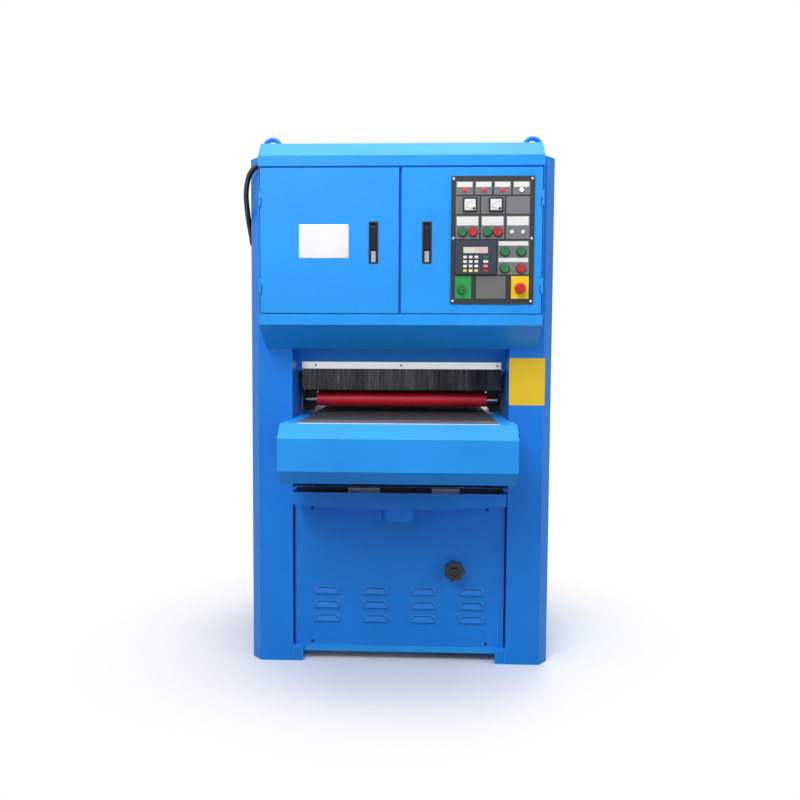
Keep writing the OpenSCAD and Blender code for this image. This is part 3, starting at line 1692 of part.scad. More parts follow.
// The controller's housing covers the left module of the fourth row; its window is sunk
module controller() {
  x = module_x(module_shares[3][0]);
  z = module_z(3);
  w = x[1] - x[0];
  h = z[1] - z[0];
  difference() {
    span(x, [module_face_y - controller_t, module_face_y], z);
    span([x[0] + w * display_x_shares[0], x[0] + w * display_x_shares[1]],
      [module_face_y - controller_t - cut, module_face_y - controller_t + display_t],
      [z[0] + h * display_z_shares[0], z[0] + h * display_z_shares[1]]);
    for (row = [0:key_rows - 1]) {
      low = z[0] + h * (key_low_share + row * key_pitch_share);
      span([x[0] + w * display_x_shares[0], x[0] + w * key_right_share],
        [module_face_y - controller_t - cut, module_face_y - controller_t + key_sink],
        [low, low + h * key_height_share]);
    }
  }
}

// A push button: a head with a rounded rim on a stem that runs in the module's bore
module push_button(place, head_colour) {
  color(head_colour) at_front() on_panel(place) {
    translate([0, 0, button_travel + button_rest]) rotate_extrude() polygon([
      [0, 0], [button_d / 2, 0], [button_d / 2, button_head - rim], [button_d / 2 - rim, button_head],
      [button_d / 2 - 2 * rim, button_head], [button_d / 2 - 3 * rim, button_head - rim / 2],
      [0, button_head - rim / 2]
    ]);
    translate([0, 0, button_travel + button_rest - stem_l]) cylinder(h = stem_l + rim, d = stem_d);
  }
}

// The selector turns in its collar; a grip stands across its face
module power_selector() {
  color(signal_green) at_front() on_panel(selector_place) {
    translate([0, 0, free_gap]) cylinder(h = selector_t, d = selector_d);
    translate([-selector_grip_w / 2, -selector_d / 2 + rim, free_gap + selector_t - rim])
      cube([selector_grip_w, selector_d - 2 * rim, selector_grip]);
    translate([0, 0, -stem_l]) cylinder(h = stem_l + selector_t, d = stem_d);
  }
}

// The emergency stop's mushroom head on its stem
module emergency_stop() {
  base = stop_collar_h + stop_travel + button_rest;
  color(signal_red) at_front() on_panel(stop_place) {
    translate([0, 0, base]) rotate_extrude() polygon(concat(
      [[0, 0], [stop_neck_d / 2, 0], [stop_neck_d / 2, stop_neck_h], [stop_d / 2, stop_neck_h]],
      [for (a = [15:15:75]) [
        stop_d / 2 - stop_dome * (1 - cos(a)), stop_neck_h + stop_rim + stop_dome * sin(a)]],
      [[0, stop_neck_h + stop_rim + stop_dome]]
    ));
    translate([0, 0, base - stem_l]) cylinder(h = stem_l + rim, d = stem_d);
  }
}

base_frame();
left_column();
right_column();
access_covers();
cabinet_shell();
cabinet_cap();
component_plate();
head_housing();
lifting_eyes();
brush_holder();
bristle_curtain();
lower_panel();
dust_tray();
conduit();
conduit_glands();
bearing_blocks();
head_beam();
head_motors();
abrasive_belt();
drive_belts();
base_drives();
table_frame();
table_cover();
infeed_plate();
conveyor_belt();
drive_roller();
nose_roller();
front_hold_down_roller();
rear_hold_down_roller();
contact_drum();
tension_roller();
brush_roller();
belt_motor_pulley();
lift_screw(screw_places[0]);  // lift_screw_front_left
lift_screw(screw_places[1]);  // lift_screw_front_right
lift_screw(screw_places[2]);  // lift_screw_rear_left
lift_screw(screw_places[3]);  // lift_screw_rear_right
speed_handwheel();
left_door();
left_latch_tray();
left_latch_lever();
left_latch_lock();
right_door();
right_latch_tray();
right_latch_lever();
right_latch_lock();
control_panel();
panel_modules();
panel_instruments();
push_button(button_places[0], signal_green);  // belt_start_button
push_button(button_places[1], signal_red);  // belt_stop_button
push_button(button_places[2], signal_green);  // brush_start_button
push_button(button_places[3], signal_red);  // brush_stop_button
push_button(button_places[4], signal_green);  // table_up_button
push_button(button_places[5], signal_green);  // table_down_button
push_button(button_places[6], signal_green);  // feed_start_button
push_button(button_places[7], signal_red);  // feed_stop_button
power_selector();
emergency_stop();
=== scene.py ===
import json
import logging
import math
from dataclasses import dataclass
from enum import Enum, StrEnum
from typing import Any, Callable, Iterable, Mapping, Optional, Sequence, Union

import bpy
import numpy as np
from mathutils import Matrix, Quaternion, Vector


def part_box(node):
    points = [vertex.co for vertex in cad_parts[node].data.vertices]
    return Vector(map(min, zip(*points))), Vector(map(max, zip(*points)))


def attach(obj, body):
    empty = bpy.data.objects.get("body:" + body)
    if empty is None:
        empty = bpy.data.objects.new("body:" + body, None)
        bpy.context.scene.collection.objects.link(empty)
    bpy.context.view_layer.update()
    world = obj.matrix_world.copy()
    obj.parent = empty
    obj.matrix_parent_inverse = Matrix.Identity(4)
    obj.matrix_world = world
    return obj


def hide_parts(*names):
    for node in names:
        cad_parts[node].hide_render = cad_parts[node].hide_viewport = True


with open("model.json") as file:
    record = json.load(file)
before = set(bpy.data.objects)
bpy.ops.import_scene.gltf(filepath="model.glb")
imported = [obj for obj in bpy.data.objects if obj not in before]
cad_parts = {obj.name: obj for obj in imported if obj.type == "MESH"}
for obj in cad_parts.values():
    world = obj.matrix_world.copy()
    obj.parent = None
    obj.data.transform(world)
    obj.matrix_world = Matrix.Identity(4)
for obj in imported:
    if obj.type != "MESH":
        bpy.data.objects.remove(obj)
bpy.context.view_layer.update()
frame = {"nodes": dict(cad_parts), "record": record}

MM = 0.001
FRONT = -250.0           # mm, where the columns' front plane lies on Y
LOG = logging.getLogger("deburring_machine")
Colour = tuple[float, float, float]
Limits = tuple[float, float, float, float]
Mesh = tuple[np.ndarray, list[np.ndarray]]
WHITE = (1, 1, 1, 1)


class Body(StrEnum):
    """The moving bodies that the dressed pieces ride on."""

    FRAME = "frame"
    TABLE = "table"
    LEFT_DOOR = "left_door"
    RIGHT_DOOR = "right_door"


def srgb(red: int, green: int, blue: int) -> Colour:
    """Turns screen values into the linear colour that a shader takes.

    Args:
        red, green, blue: the three screen values, 0 to 255.

    Returns:
        The linear colour.
    """
    def line(value: int) -> float:
        """Gives one channel's linear value."""
        share = value / 255
        return share / 12.92 if share <= 0.04045 else ((share + 0.055) / 1.055) ** 2.4
    return line(red), line(green), line(blue)


# ---- shader expressions

Value = Union[float, "Expr"]
EVERYWHERE = (-5000.0, 5000.0)       # mm, past the machine on any axis


def _operator(operation: str, swap: bool = False) -> Callable[["Expr", Value], "Expr"]:
    """Makes an operator that adds one Math node, on swapped values where it is reflected."""
    def apply(self: "Expr", other: Value) -> "Expr":
        """Adds the node on both values."""
        values = [other, self] if swap else [self, other]
        return self.nodes.node("ShaderNodeMath", {"operation": operation}, values)
    return apply


class Expr:
    """A value on its way through one node tree; above and below give 1 or 0."""

    def __init__(self, nodes: "Nodes", socket: bpy.types.NodeSocket) -> None:
        """Wraps an output socket of a tree's node."""
        self.nodes = nodes
        self.socket = socket

    __add__, __radd__ = _operator("ADD"), _operator("ADD", swap=True)
    __sub__, __rsub__ = _operator("SUBTRACT"), _operator("SUBTRACT", swap=True)
    __mul__, __rmul__ = _operator("MULTIPLY"), _operator("MULTIPLY", swap=True)
    above, below = _operator("GREATER_THAN"), _operator("LESS_THAN")


class Nodes:
    """A node tree with a short way to add to it."""

    def __init__(self, tree: bpy.types.NodeTree) -> None:
        """Wraps the tree."""
        self.tree = tree

    def node(self, kind: str, settings: Mapping[str, Any], values: Any = (),
             out: Union[int, str] = 0) -> Expr:
        """Adds a node.

        Args:
            kind: the node's type.
            settings: its settings, set first.
            values: its inputs' values or links, in order or by name or number.
            out: the output that is returned.

        Returns:
            The chosen output, wrapped.
        """
        node = self.tree.nodes.new(kind)
        for key, value in settings.items():
            setattr(node, key, value)
        for key, value in (values.items() if isinstance(values, dict) else enumerate(values)):
            if isinstance(value, Expr):
                self.tree.links.new(value.socket, node.inputs[key])
            else:
                node.inputs[key].default_value = value
        return Expr(self, node.outputs[out])

    def seen_rays(self) -> Expr:
        """Gives 1 for what the camera sees, itself or through gloss or glass, else 0."""
        camera, gloss, glass = (self.node("ShaderNodeLightPath", {}, (), f"Is {kind} Ray")
                                for kind in ("Camera", "Glossy", "Transmission"))
        return camera + gloss + glass

    def finish(self, mask: Expr, first: Expr, second: Expr) -> None:
        """Feeds the tree's output with a mix of two shaders by a mask."""
        blend = self.node("ShaderNodeMixShader", {}, [mask, first, second])
        output = next(n for n in self.tree.nodes if n.type.startswith("OUTPUT"))
        self.tree.links.new(blend.socket, output.inputs["Surface"])


class Paint(Nodes):
    """One node material, with a Principled shader and short ways to feed it."""

    def __init__(self, name: str, constants: Mapping[str, Any]) -> None:
        """Makes the material.

        Args:
            name: the material's name.
            constants: values set on the shader's own sockets.
        """
        self.material = bpy.data.materials.new(name)
        self.material.use_nodes = True
        super().__init__(self.material.node_tree)
        self.shader = next(n for n in self.tree.nodes if n.type == "BSDF_PRINCIPLED")
        for key, value in constants.items():
            self.shader.inputs[key].default_value = value

    def place(self, stretch: Sequence[float] = (1, 1, 1)) -> Expr:
        """Gives the surface's place on the object, stretched on each axis."""
        where = self.node("ShaderNodeTexCoord", {}, (), "Object")
        return self.node("ShaderNodeMapping", {}, {"Vector": where, "Scale": tuple(stretch)})

    def noise(self, size_mm: float, stretch: Sequence[float] = (1, 1, 1),
              detail: float = 3) -> Expr:
        """Gives noise of a grain size in millimetres, about 0.5 on average."""
        return self.node("ShaderNodeTexNoise", {"noise_dimensions": "3D"}, {
            "Vector": self.place(stretch), "Scale": 1 / (size_mm * MM), "Detail": detail,
            "Roughness": 0.55}, "Fac")

    def ramp(self, value: Expr, stops: Sequence[tuple[float, float]]) -> Expr:
        """Runs a value through a grey ramp with two (place, grey) stops."""
        run = self.node("ShaderNodeValToRGB", {}, [value])
        for stop, (place, grey) in zip(run.socket.node.color_ramp.elements, stops):
            stop.position = place
            stop.color = (grey, grey, grey, 1)
        return run

    def mix(self, mask: Expr, first: Any, second: Any) -> Expr:
        """Mixes two colours by a mask."""
        def full(colour: Any) -> Any:
            """Gives a plain colour its fourth channel."""
            return colour if isinstance(colour, Expr) else (*colour, 1)
        return self.node("ShaderNodeMix", {"data_type": "RGBA"},
                         {0: mask, 6: full(first), 7: full(second)}, 2)

    def feed(self, socket: str, value: Value) -> None:
        """Links a value to the shader, or sets a plain number on its socket."""
        if isinstance(value, Expr):
            self.tree.links.new(value.socket, self.shader.inputs[socket])
        else:
            self.shader.inputs[socket].default_value = value

    def bump(self, height: Expr, strength: float, depth_mm: float) -> None:
        """Feeds the shader's Normal from a height that is depth_mm deep."""
        self.feed("Normal", self.node("ShaderNodeBump", {}, {
            "Strength": strength, "Distance": depth_mm * MM, "Height": height}))

    def within(self, x: tuple[float, float], z: tuple[float, float]) -> Expr:
        """Gives 1 inside a rectangle of X and Z in millimetres, else 0."""
        where = self.node("ShaderNodeTexCoord", {}, (), "Object")
        across, up = (self.node("ShaderNodeSeparateXYZ", {}, [where], axis) for axis in "XZ")
        return (across.above(x[0] * MM) * across.below(x[1] * MM)
                * up.above(z[0] * MM) * up.below(z[1] * MM))


def shift(colour: Colour, share: float) -> Colour:
    """Lightens or darkens a colour by a share of itself."""
    return tuple(min(1.0, channel * (1 + share)) for channel in colour)


@dataclass(frozen=True)
class Finish:
    """A plain moulded or painted finish: a slow drift of tone and a fine relief.

    Attributes:
        name: the material's name.
        colour: the linear base colour.
        rough: the roughness.
        metal: how metallic it is.
        grain_mm: the size of the relief's grain.
        relief: the bump's strength.
        depth_mm: the bump's depth.
        drift: the share by which the tone drifts.
        stretch: the grain's stretch on each axis.
        shine: how strongly a bare surface reflects.
    """

    name: str
    colour: Colour
    rough: float = 0.4
    metal: float = 0.0
    grain_mm: float = 1.5
    relief: float = 0.12
    depth_mm: float = 0.2
    drift: float = 0.08
    stretch: tuple[float, float, float] = (1, 1, 1)
    shine: float = 0.5

    def tone(self, paint: Paint) -> Expr:
        """Gives the base colour: the tone drifts slowly, with a little fine mottle."""
        mask = paint.ramp(paint.noise(260, detail=2), [(0.3, 0.0), (0.7, 1.0)])
        return paint.mix(mask, shift(self.colour, -self.drift), shift(self.colour, self.drift))

    def height(self, paint: Paint) -> Expr:
        """Gives the relief's height."""
        return paint.noise(self.grain_mm, self.stretch)

    def gloss(self, paint: Paint) -> Value:
        """Gives the roughness, a little uneven, as handling leaves it."""
        return paint.noise(35) * 0.12 + (self.rough - 0.06)

    def extra(self, paint: Paint) -> None:
        """Adds what only one finish has."""

    def make(self) -> bpy.types.Material:
        """Builds the material.

        Returns:
            The node material.
        """
        paint = Paint(self.name, {"Metallic": self.metal, "Specular IOR Level": self.shine})
        paint.feed("Base Color", self.tone(paint))
        paint.feed("Roughness", self.gloss(paint))
        paint.bump(self.height(paint), self.relief, self.depth_mm)
        self.extra(paint)
        return paint.material


@dataclass(frozen=True)
class PowderCoat(Finish):
    """Baked powder paint: orange peel, a faint mottle and rubbed, paler specks."""

    rough: float = 0.42
    grain_mm: float = 2.6
    relief: float = 0.10
    drift: float = 0.05
    shine: float = 0.34

    def tone(self, paint: Paint) -> Expr:
        """Adds sparse paler specks to the drifting tone."""
        specks = paint.ramp(paint.noise(5, detail=5), [(0.70, 0.0), (0.78, 0.35)])
        return paint.mix(specks, super().tone(paint), shift(self.colour, 0.5))


@dataclass(frozen=True)
class BrushedMetal(Finish):
    """Bare metal with brush lines along one axis and cloudy roughness."""

    metal: float = 1.0
    rough: float = 0.34
    grain_mm: float = 0.8
    relief: float = 0.16
    depth_mm: float = 0.05
    drift: float = 0.06

    def gloss(self, paint: Paint) -> Expr:
        """Lets the brush lines and slow clouds change the roughness."""
        lines = paint.noise(1.6, self.stretch, 4)
        return paint.noise(90) * 0.14 + lines * 0.16 + (self.rough - 0.15)


@dataclass(frozen=True)
class Abrasive(Finish):
    """Grit on cloth: sharp cells of grain, some of them dark and some shining."""

    cell_mm: float = 1.1

    def cells(self, paint: Paint) -> Expr:
        """Gives the distance to each grain's centre."""
        return paint.node("ShaderNodeTexVoronoi", {"feature": "F1"}, {
            "Vector": paint.place(), "Scale": 1 / (self.cell_mm * MM)}, "Distance")

    def tone(self, paint: Paint) -> Expr:
        """Darkens the cloth between the grains."""
        return paint.mix(paint.ramp(self.cells(paint), [(0.2, 0.0), (0.8, 1.0)]),
                         shift(self.colour, 0.35), shift(self.colour, -0.45))

    def height(self, paint: Paint) -> Expr:
        """Raises each grain."""
        return 1 - self.cells(paint)


@dataclass(frozen=True)
class Hair(Finish):
    """Brush filament: each hair has its own grey, kept in the piece's tint attribute."""

    tip: Colour = (0.3, 0.3, 0.3)

    def tone(self, paint: Paint) -> Expr:
        """Mixes the dark and the grey filament by the tint of each hair."""
        tint = paint.node("ShaderNodeAttribute", {"attribute_name": "tint"}, (), "Fac")
        return paint.mix(tint, self.colour, self.tip)


@dataclass(frozen=True)
class Glow(Finish):
    """A lit lens or display."""

    glow: float = 1.5

    def extra(self, paint: Paint) -> None:
        """Lights the surface in its own colour."""
        paint.feed("Emission Color", self.tone(paint))
        paint.shader.inputs["Emission Strength"].default_value = self.glow


@dataclass(frozen=True)
class SleevedRoller(Finish):
    """A rubber sleeve between two bare steel shaft ends.

    Attributes:
        half_mm: half the sleeve's length, with its end faces.
        shaft: the steel's colour.
    """

    half_mm: float = 328
    shaft: Colour = (0.5, 0.5, 0.5)

    def sleeve(self, paint: Paint) -> Expr:
        """Gives 1 on the sleeve and 0 on the shaft ends."""
        return paint.within((-self.half_mm, self.half_mm), EVERYWHERE)

    def tone(self, paint: Paint) -> Expr:
        """Gives the sleeve its rubber colour and the ends their steel."""
        return paint.mix(self.sleeve(paint), self.shaft, super().tone(paint))

    def extra(self, paint: Paint) -> None:
        """Makes the shaft ends metal."""
        paint.feed("Metallic", 1 - self.sleeve(paint))


@dataclass(frozen=True)
class ModulePlastic(Finish):
    """The panel's modules: grey plastic, with whole boxes moulded in other colours."""

    boxes: tuple[tuple[Colour, tuple[float, float], tuple[float, float]], ...] = ()

    def tone(self, paint: Paint) -> Expr:
        """Gives each named box its colour by its place on the panel."""
        colour = super().tone(paint)
        for box_colour, x, z in self.boxes:
            colour = paint.mix(paint.within(x, z), colour, box_colour)
        return colour


# ---- surfaces

def circle(diameter: float, count: int = 24) -> np.ndarray:
    """Gives a circle's outline: diameter / 2 times (cos, sin) of equal angles."""
    angle = np.arange(count) * 2 * math.pi / count
    return diameter / 2 * np.stack([np.cos(angle), np.sin(angle)], axis=1)


def rounded(width: float, height: float, radius: float, count: int = 5) -> np.ndarray:
    """Gives a rounded rectangle, counterclockwise.

    Each corner is a quarter circle of the radius round the corner's centre, which lies
    a radius in from both sides.

    Args:
        width, height: the outside size.
        radius: the corner's radius.
        count: the points on each corner.

    Returns:
        The outline, one row for each point.
    """
    radius = min(radius, width / 2 - 0.01, height / 2 - 0.01)
    quarter = np.linspace(0, math.pi / 2, count)
    turns = np.arange(4)[:, None] * math.pi / 2 + quarter[None, :]
    sign_x = np.array([1, -1, -1, 1])[:, None]
    sign_z = np.array([1, 1, -1, -1])[:, None]
    across = sign_x * (width / 2 - radius) + radius * np.cos(turns)
    up = sign_z * (height / 2 - radius) + radius * np.sin(turns)
    return np.stack([across.ravel(), up.ravel()], axis=1)


def wrapped(count: int, size: int) -> np.ndarray:
    """Gives the faces of a ring-shaped shell: the last of its sections joins the first.

    Args:
        count: the sections round.
        size: the points of each section, which is closed too.

    Returns:
        The four-sided faces.
    """
    i = np.arange(count)[:, None] * size
    after = (np.arange(count)[:, None] + 1) % count * size
    j = np.arange(size)[None, :]
    k = (j + 1) % size
    return np.stack([i + j, after + j, after + k, i + k], axis=-1).reshape(-1, 4)


def loft(rings: np.ndarray) -> Mesh:
    """Joins closed rings of equal length into one closed shell.

    Ring i's point j joins point j + 1 and the same two points of ring i + 1. Each end is
    closed by a fan round the ring's middle point. Rings that run counterclockwise about
    the way they advance give faces that point outwards.

    Args:
        rings: an array of rings, points and coordinates.

    Returns:
        The vertices, and the arrays of faces.
    """
    count, size, _ = rings.shape
    start = np.arange(count - 1)[:, None] * size
    here = np.arange(size)
    there = (here + 1) % size
    walls = np.stack([start + here, start + there, start + there + size, start + here + size],
                     axis=-1).reshape(-1, 4)
    vertices = np.vstack([rings.reshape(-1, 3), rings[0].mean(axis=0), rings[-1].mean(axis=0)])
    base, last = count * size, (count - 1) * size
    ends = [np.stack([np.full(size, base), there, here], axis=-1),
            np.stack([np.full(size, base + 1), last + here, last + there], axis=-1)]
    return vertices, [walls, *ends]


class Facing(Enum):
    """The ways that a flat-backed piece can face, as its right, up and forward axes."""

    FRONT = ((1, 0, 0), (0, 0, 1), (0, -1, 0))
    REAR = ((-1, 0, 0), (0, 0, 1), (0, 1, 0))
    LEFT = ((0, -1, 0), (0, 0, 1), (-1, 0, 0))
    RIGHT = ((0, 1, 0), (0, 0, 1), (1, 0, 0))
    TOP = ((1, 0, 0), (0, 1, 0), (0, 0, 1))


def boss(outline: Callable[[float], np.ndarray], steps: Sequence[tuple[float, float]],
         at: Sequence[float], facing: Facing = Facing.FRONT) -> Mesh:
    """Builds a flat-backed piece from one outline drawn in by steps.

    A point of step k is at + right * x + up * z + forward * height[k], where (x, z) runs
    round the outline drawn in by inset[k].

    Args:
        outline: gives the outline for an inset in millimetres.
        steps: (height, inset) pairs from the back to the front, in millimetres.
        at: the place of the back's middle, x, y and z in millimetres.
        facing: the way that it faces.

    Returns:
        The mesh in millimetres.
    """
    right, up, forward = (np.array(axis, float) for axis in facing.value)
    rings = np.stack([
        np.array(at, float) + outline(inset)[:, :1] * right + outline(inset)[:, 1:] * up
        + height * forward for height, inset in steps])
    return loft(rings)


def plate(width: float, height: float, thick: float, at: Sequence[float],
          facing: Facing = Facing.FRONT, radius: float = 1.5, bevel: float = 0.4) -> Mesh:
    """Builds a thin plate with rounded corners, a bevelled edge and a flat face."""
    land = bevel + 0.25 * (min(width, height) / 2 - bevel) * min(1.0, 8 / min(width, height))
    return boss(lambda inset: rounded(width - 2 * inset, height - 2 * inset,
                                      max(radius - inset, 0.05)),
                [(0, 0), (thick - bevel, 0), (thick - bevel * 0.3, bevel * 0.4), (thick, bevel),
                 (thick, land)], at, facing)


def pair(width: float, height: float, x: float, y: float, z: float, thick: float = 1.5,
         radius: float = 1.5) -> Mesh:
    """Builds two equal plates that face the front, one on each side of the middle."""
    return join([plate(width, height, thick, (side * x, y, z), radius=radius)
                 for side in (-1, 1)])


def disc(diameter: float, steps: Sequence[tuple[float, float]], at: Sequence[float],
         facing: Facing = Facing.FRONT, count: int = 24) -> Mesh:
    """Builds a turned piece: a circle drawn in by steps of (height, inset)."""
    return boss(lambda inset: circle(diameter - 2 * inset, count), steps, at, facing)


def socket_screw(diameter: float, at: Sequence[float], facing: Facing = Facing.FRONT) -> Mesh:
    """Builds a button-head screw: a domed head with a round recess in it."""
    r = diameter / 2
    top = 0.55 * r + 0.5
    return disc(diameter, [(-0.2, 0), (0.5, 0), (0.32 * r + 0.6, 0.18 * r), (top, 0.5 * r),
                           (top, 0.55 * r), (0.25 * r, 0.57 * r)], at, facing, 12)


def hex_screw(across: float, at: Sequence[float], facing: Facing = Facing.FRONT) -> Mesh:
    """Builds a hexagon head on its washer: six flats, chamfered at the front."""
    washer = disc(across * 1.7, [(-0.2, 0), (1.2, 0), (1.5, 0.3)], at, facing, 18)
    head = boss(lambda inset: circle(across * 1.15 - 2 * inset, 6),
                [(1.4, 0), (across * 0.5, 0), (across * 0.6, across * 0.08)], at, facing)
    return join([washer, head])


def sweep(path: np.ndarray, radii: np.ndarray, count: int = 16) -> Mesh:
    """Sweeps a circle along a path.

    The path's direction is its difference on both sides. The circle's first axis is the
    direction crossed with a fixed vector that the path never follows, and its second
    crosses the direction again, so the rings don't twist.

    Args:
        path: the middle line's points in millimetres.
        radii: the tube's radius at each point.
        count: the points of each ring.

    Returns:
        The mesh in millimetres.
    """
    along = np.gradient(path, axis=0)
    along /= np.linalg.norm(along, axis=1, keepdims=True)
    first = np.cross(along, np.array([0.0, 1.0, 0.2]))
    first /= np.linalg.norm(first, axis=1, keepdims=True)
    second = np.cross(along, first)
    angle = np.arange(count) * 2 * math.pi / count
    rings = (path[:, None, :] + radii[:, None, None]
             * (first[:, None, :] * np.cos(angle)[None, :, None]
                + second[:, None, :] * np.sin(angle)[None, :, None]))
    return loft(rings)


def smooth_path(points: np.ndarray, per_span: int) -> np.ndarray:
    """Rounds a route: a Catmull-Rom curve through its points.

    Between points b and c, with a before and d after, the place at share t is half of
    2b + (c - a) t + (2a - 5b + 4c - d) t^2 + (3b - a - 3c + d) t^3.

    Args:
        points: the route's points.
        per_span: the places worked out in each span.

    Returns:
        The smooth route.
    """
    padded = np.vstack([2 * points[0] - points[1], points, 2 * points[-1] - points[-2]])
    a, b, c, d = padded[:-3], padded[1:-2], padded[2:-1], padded[3:]
    t = (np.arange(per_span) / per_span)[None, :, None]
    a, b, c, d = (part[:, None, :] for part in (a, b, c, d))
    curve = 0.5 * (2 * b + (c - a) * t + (2 * a - 5 * b + 4 * c - d) * t ** 2
                   + (3 * b - a - 3 * c + d) * t ** 3)
    return np.vstack([curve.reshape(-1, 3), points[-1:]])


def join(meshes: Iterable[Mesh]) -> Mesh:
    """Puts several meshes into one."""
    vertices: list[np.ndarray] = []
    faces: list[np.ndarray] = []
    base = 0
    for points, parts in meshes:
        vertices.append(points)
        faces.extend(part + base for part in parts)
        base += len(points)
    return np.vstack(vertices), faces


def add_object(name: str, mesh: Mesh, material: bpy.types.Material, smooth_deg: float = 32,
               tint: Optional[np.ndarray] = None) -> bpy.types.Object:
    """Turns a mesh in millimetres into an object.

    Args:
        name: the object's name.
        mesh: its vertices and faces.
        material: its material.
        smooth_deg: edges flatter than this are shaded smooth.
        tint: a number for each vertex, read by some finishes.

    Returns:
        The new object.
    """
    points, parts = mesh
    data = bpy.data.meshes.new(name)
    loops = np.concatenate([part.ravel() for part in parts]).astype(np.int32)
    totals = np.concatenate([np.full(len(part), part.shape[1]) for part in parts])
    starts = np.concatenate([[0], np.cumsum(totals)[:-1]]).astype(np.int32)
    data.vertices.add(len(points))
    data.vertices.foreach_set("co", (points * MM).astype(np.float32).ravel())
    data.loops.add(len(loops))
    data.loops.foreach_set("vertex_index", loops)
    data.polygons.add(len(totals))
    data.polygons.foreach_set("loop_start", starts)
    data.update(calc_edges=True)
    if tint is not None:
        layer = data.attributes.new("tint", "FLOAT", "POINT")
        layer.data.foreach_set("value", tint.astype(np.float32))
    data.materials.append(material)
    made = bpy.data.objects.new(name, data)
    bpy.context.scene.collection.objects.link(made)
    data.polygons.foreach_set("use_smooth", np.ones(len(totals), dtype=bool))
    data.set_sharp_from_angle(angle=math.radians(smooth_deg))
    return made


def piece(name: str, mesh: Mesh, body: str, slot: str, finish: str,
          **shading: Any) -> bpy.types.Object:
    """Turns a mesh in millimetres into a piece of the machine.

    Args:
        name, mesh, shading: as for any object.
        body: the body that it rides on.
        slot: the record's material slot; not used.
        finish: the name of its finish.

    Returns:
        The new object.
    """
    made = add_object(name, mesh, SHELF[finish], **shading)
    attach(made, body)
    LOG.info("%s: %d faces, on %s", name, len(made.data.polygons), body)
    return made


# ---- finishes

LIGHT_BLUE = srgb(32, 156, 246)
BLUE = srgb(14, 130, 232)
GREEN_BOX = srgb(16, 156, 74)
YELLOW = srgb(252, 212, 10)
NAVY = srgb(44, 48, 66)
GREY = srgb(116, 118, 121)
PLAIN_GREY = srgb(108, 108, 106)
PALE = srgb(226, 228, 226)
BLACK = srgb(24, 25, 27)


class Shelf:
    """Makes each finish once and hands it out by name."""

    def __init__(self, finishes: Iterable[Finish]) -> None:
        """Keeps the finishes by name."""
        self._finishes = {finish.name: finish for finish in finishes}
        self._made: dict[str, bpy.types.Material] = {}

    def __getitem__(self, name: str) -> bpy.types.Material:
        """Gives a finish's material, and builds it at its first use."""
        if name not in self._made:
            self._made[name] = self._finishes[name].make()
        return self._made[name]


# The modules' outlines on the panel, in millimetres, by row from the top
PANEL_X = (172.0, 452.0)
PANEL_Z = (1311.5, 1739.5)
ROW_TOPS = (17.5, 67.9, 132.4, 215.7, 334.4)
ROW_HEIGHTS = (44.9, 59.0, 77.8, 113.3, 76.1)
MODULE_SHARES = (
    ((0, 0.25), (0.25, 0.5), (0.5, 0.75), (0.75, 1)),
    ((0, 1 / 3), (1 / 3, 2 / 3), (2 / 3, 1)),
    ((0, 1 / 3), (1 / 3, 2 / 3), (2 / 3, 1)),
    ((0, 0.56), (0.56, 1)),
    ((0, 0.235), (0.28, 0.692), (0.745, 1)),
)
SIDE_MARGIN, MODULE_GAP = 15.75, 5.5
BEZEL_Y = FRONT - 155
MODULE_Y = FRONT - 156


def module_box(row: int, index: int) -> tuple[tuple[float, float], tuple[float, float]]:
    """Gives a module's X and Z limits on the panel.

    Args:
        row: its row from the top.
        index: its place in the row.

    Returns:
        The two pairs of limits.
    """
    width = PANEL_X[1] - PANEL_X[0] - 2 * SIDE_MARGIN + MODULE_GAP
    left = PANEL_X[0] + SIDE_MARGIN
    low, high = MODULE_SHARES[row][index]
    top = PANEL_Z[1] - ROW_TOPS[row]
    return (left + low * width, left + high * width - MODULE_GAP), (top - ROW_HEIGHTS[row], top)


def panel_place(across: float, row: int, down: float) -> tuple[float, float]:
    """Gives a place on the panel by shares of its width and of a row's height."""
    return (PANEL_X[0] + across * (PANEL_X[1] - PANEL_X[0]),
            PANEL_Z[1] - ROW_TOPS[row] - down * ROW_HEIGHTS[row])


LAMPS = tuple(panel_place(0.16 + k * 0.227, 0, 0.66) for k in range(4))
METERS = (panel_place(0.225, 1, 0.48), panel_place(0.536, 1, 0.48))
BUTTONS = tuple(panel_place(x, 2, 0.70) for x in (0.135, 0.262, 0.439, 0.564)) + (
    panel_place(0.652, 3, 0.326), panel_place(0.848, 3, 0.326),
    panel_place(0.652, 3, 0.826), panel_place(0.848, 3, 0.826))
CONTROLLER = module_box(3, 0)

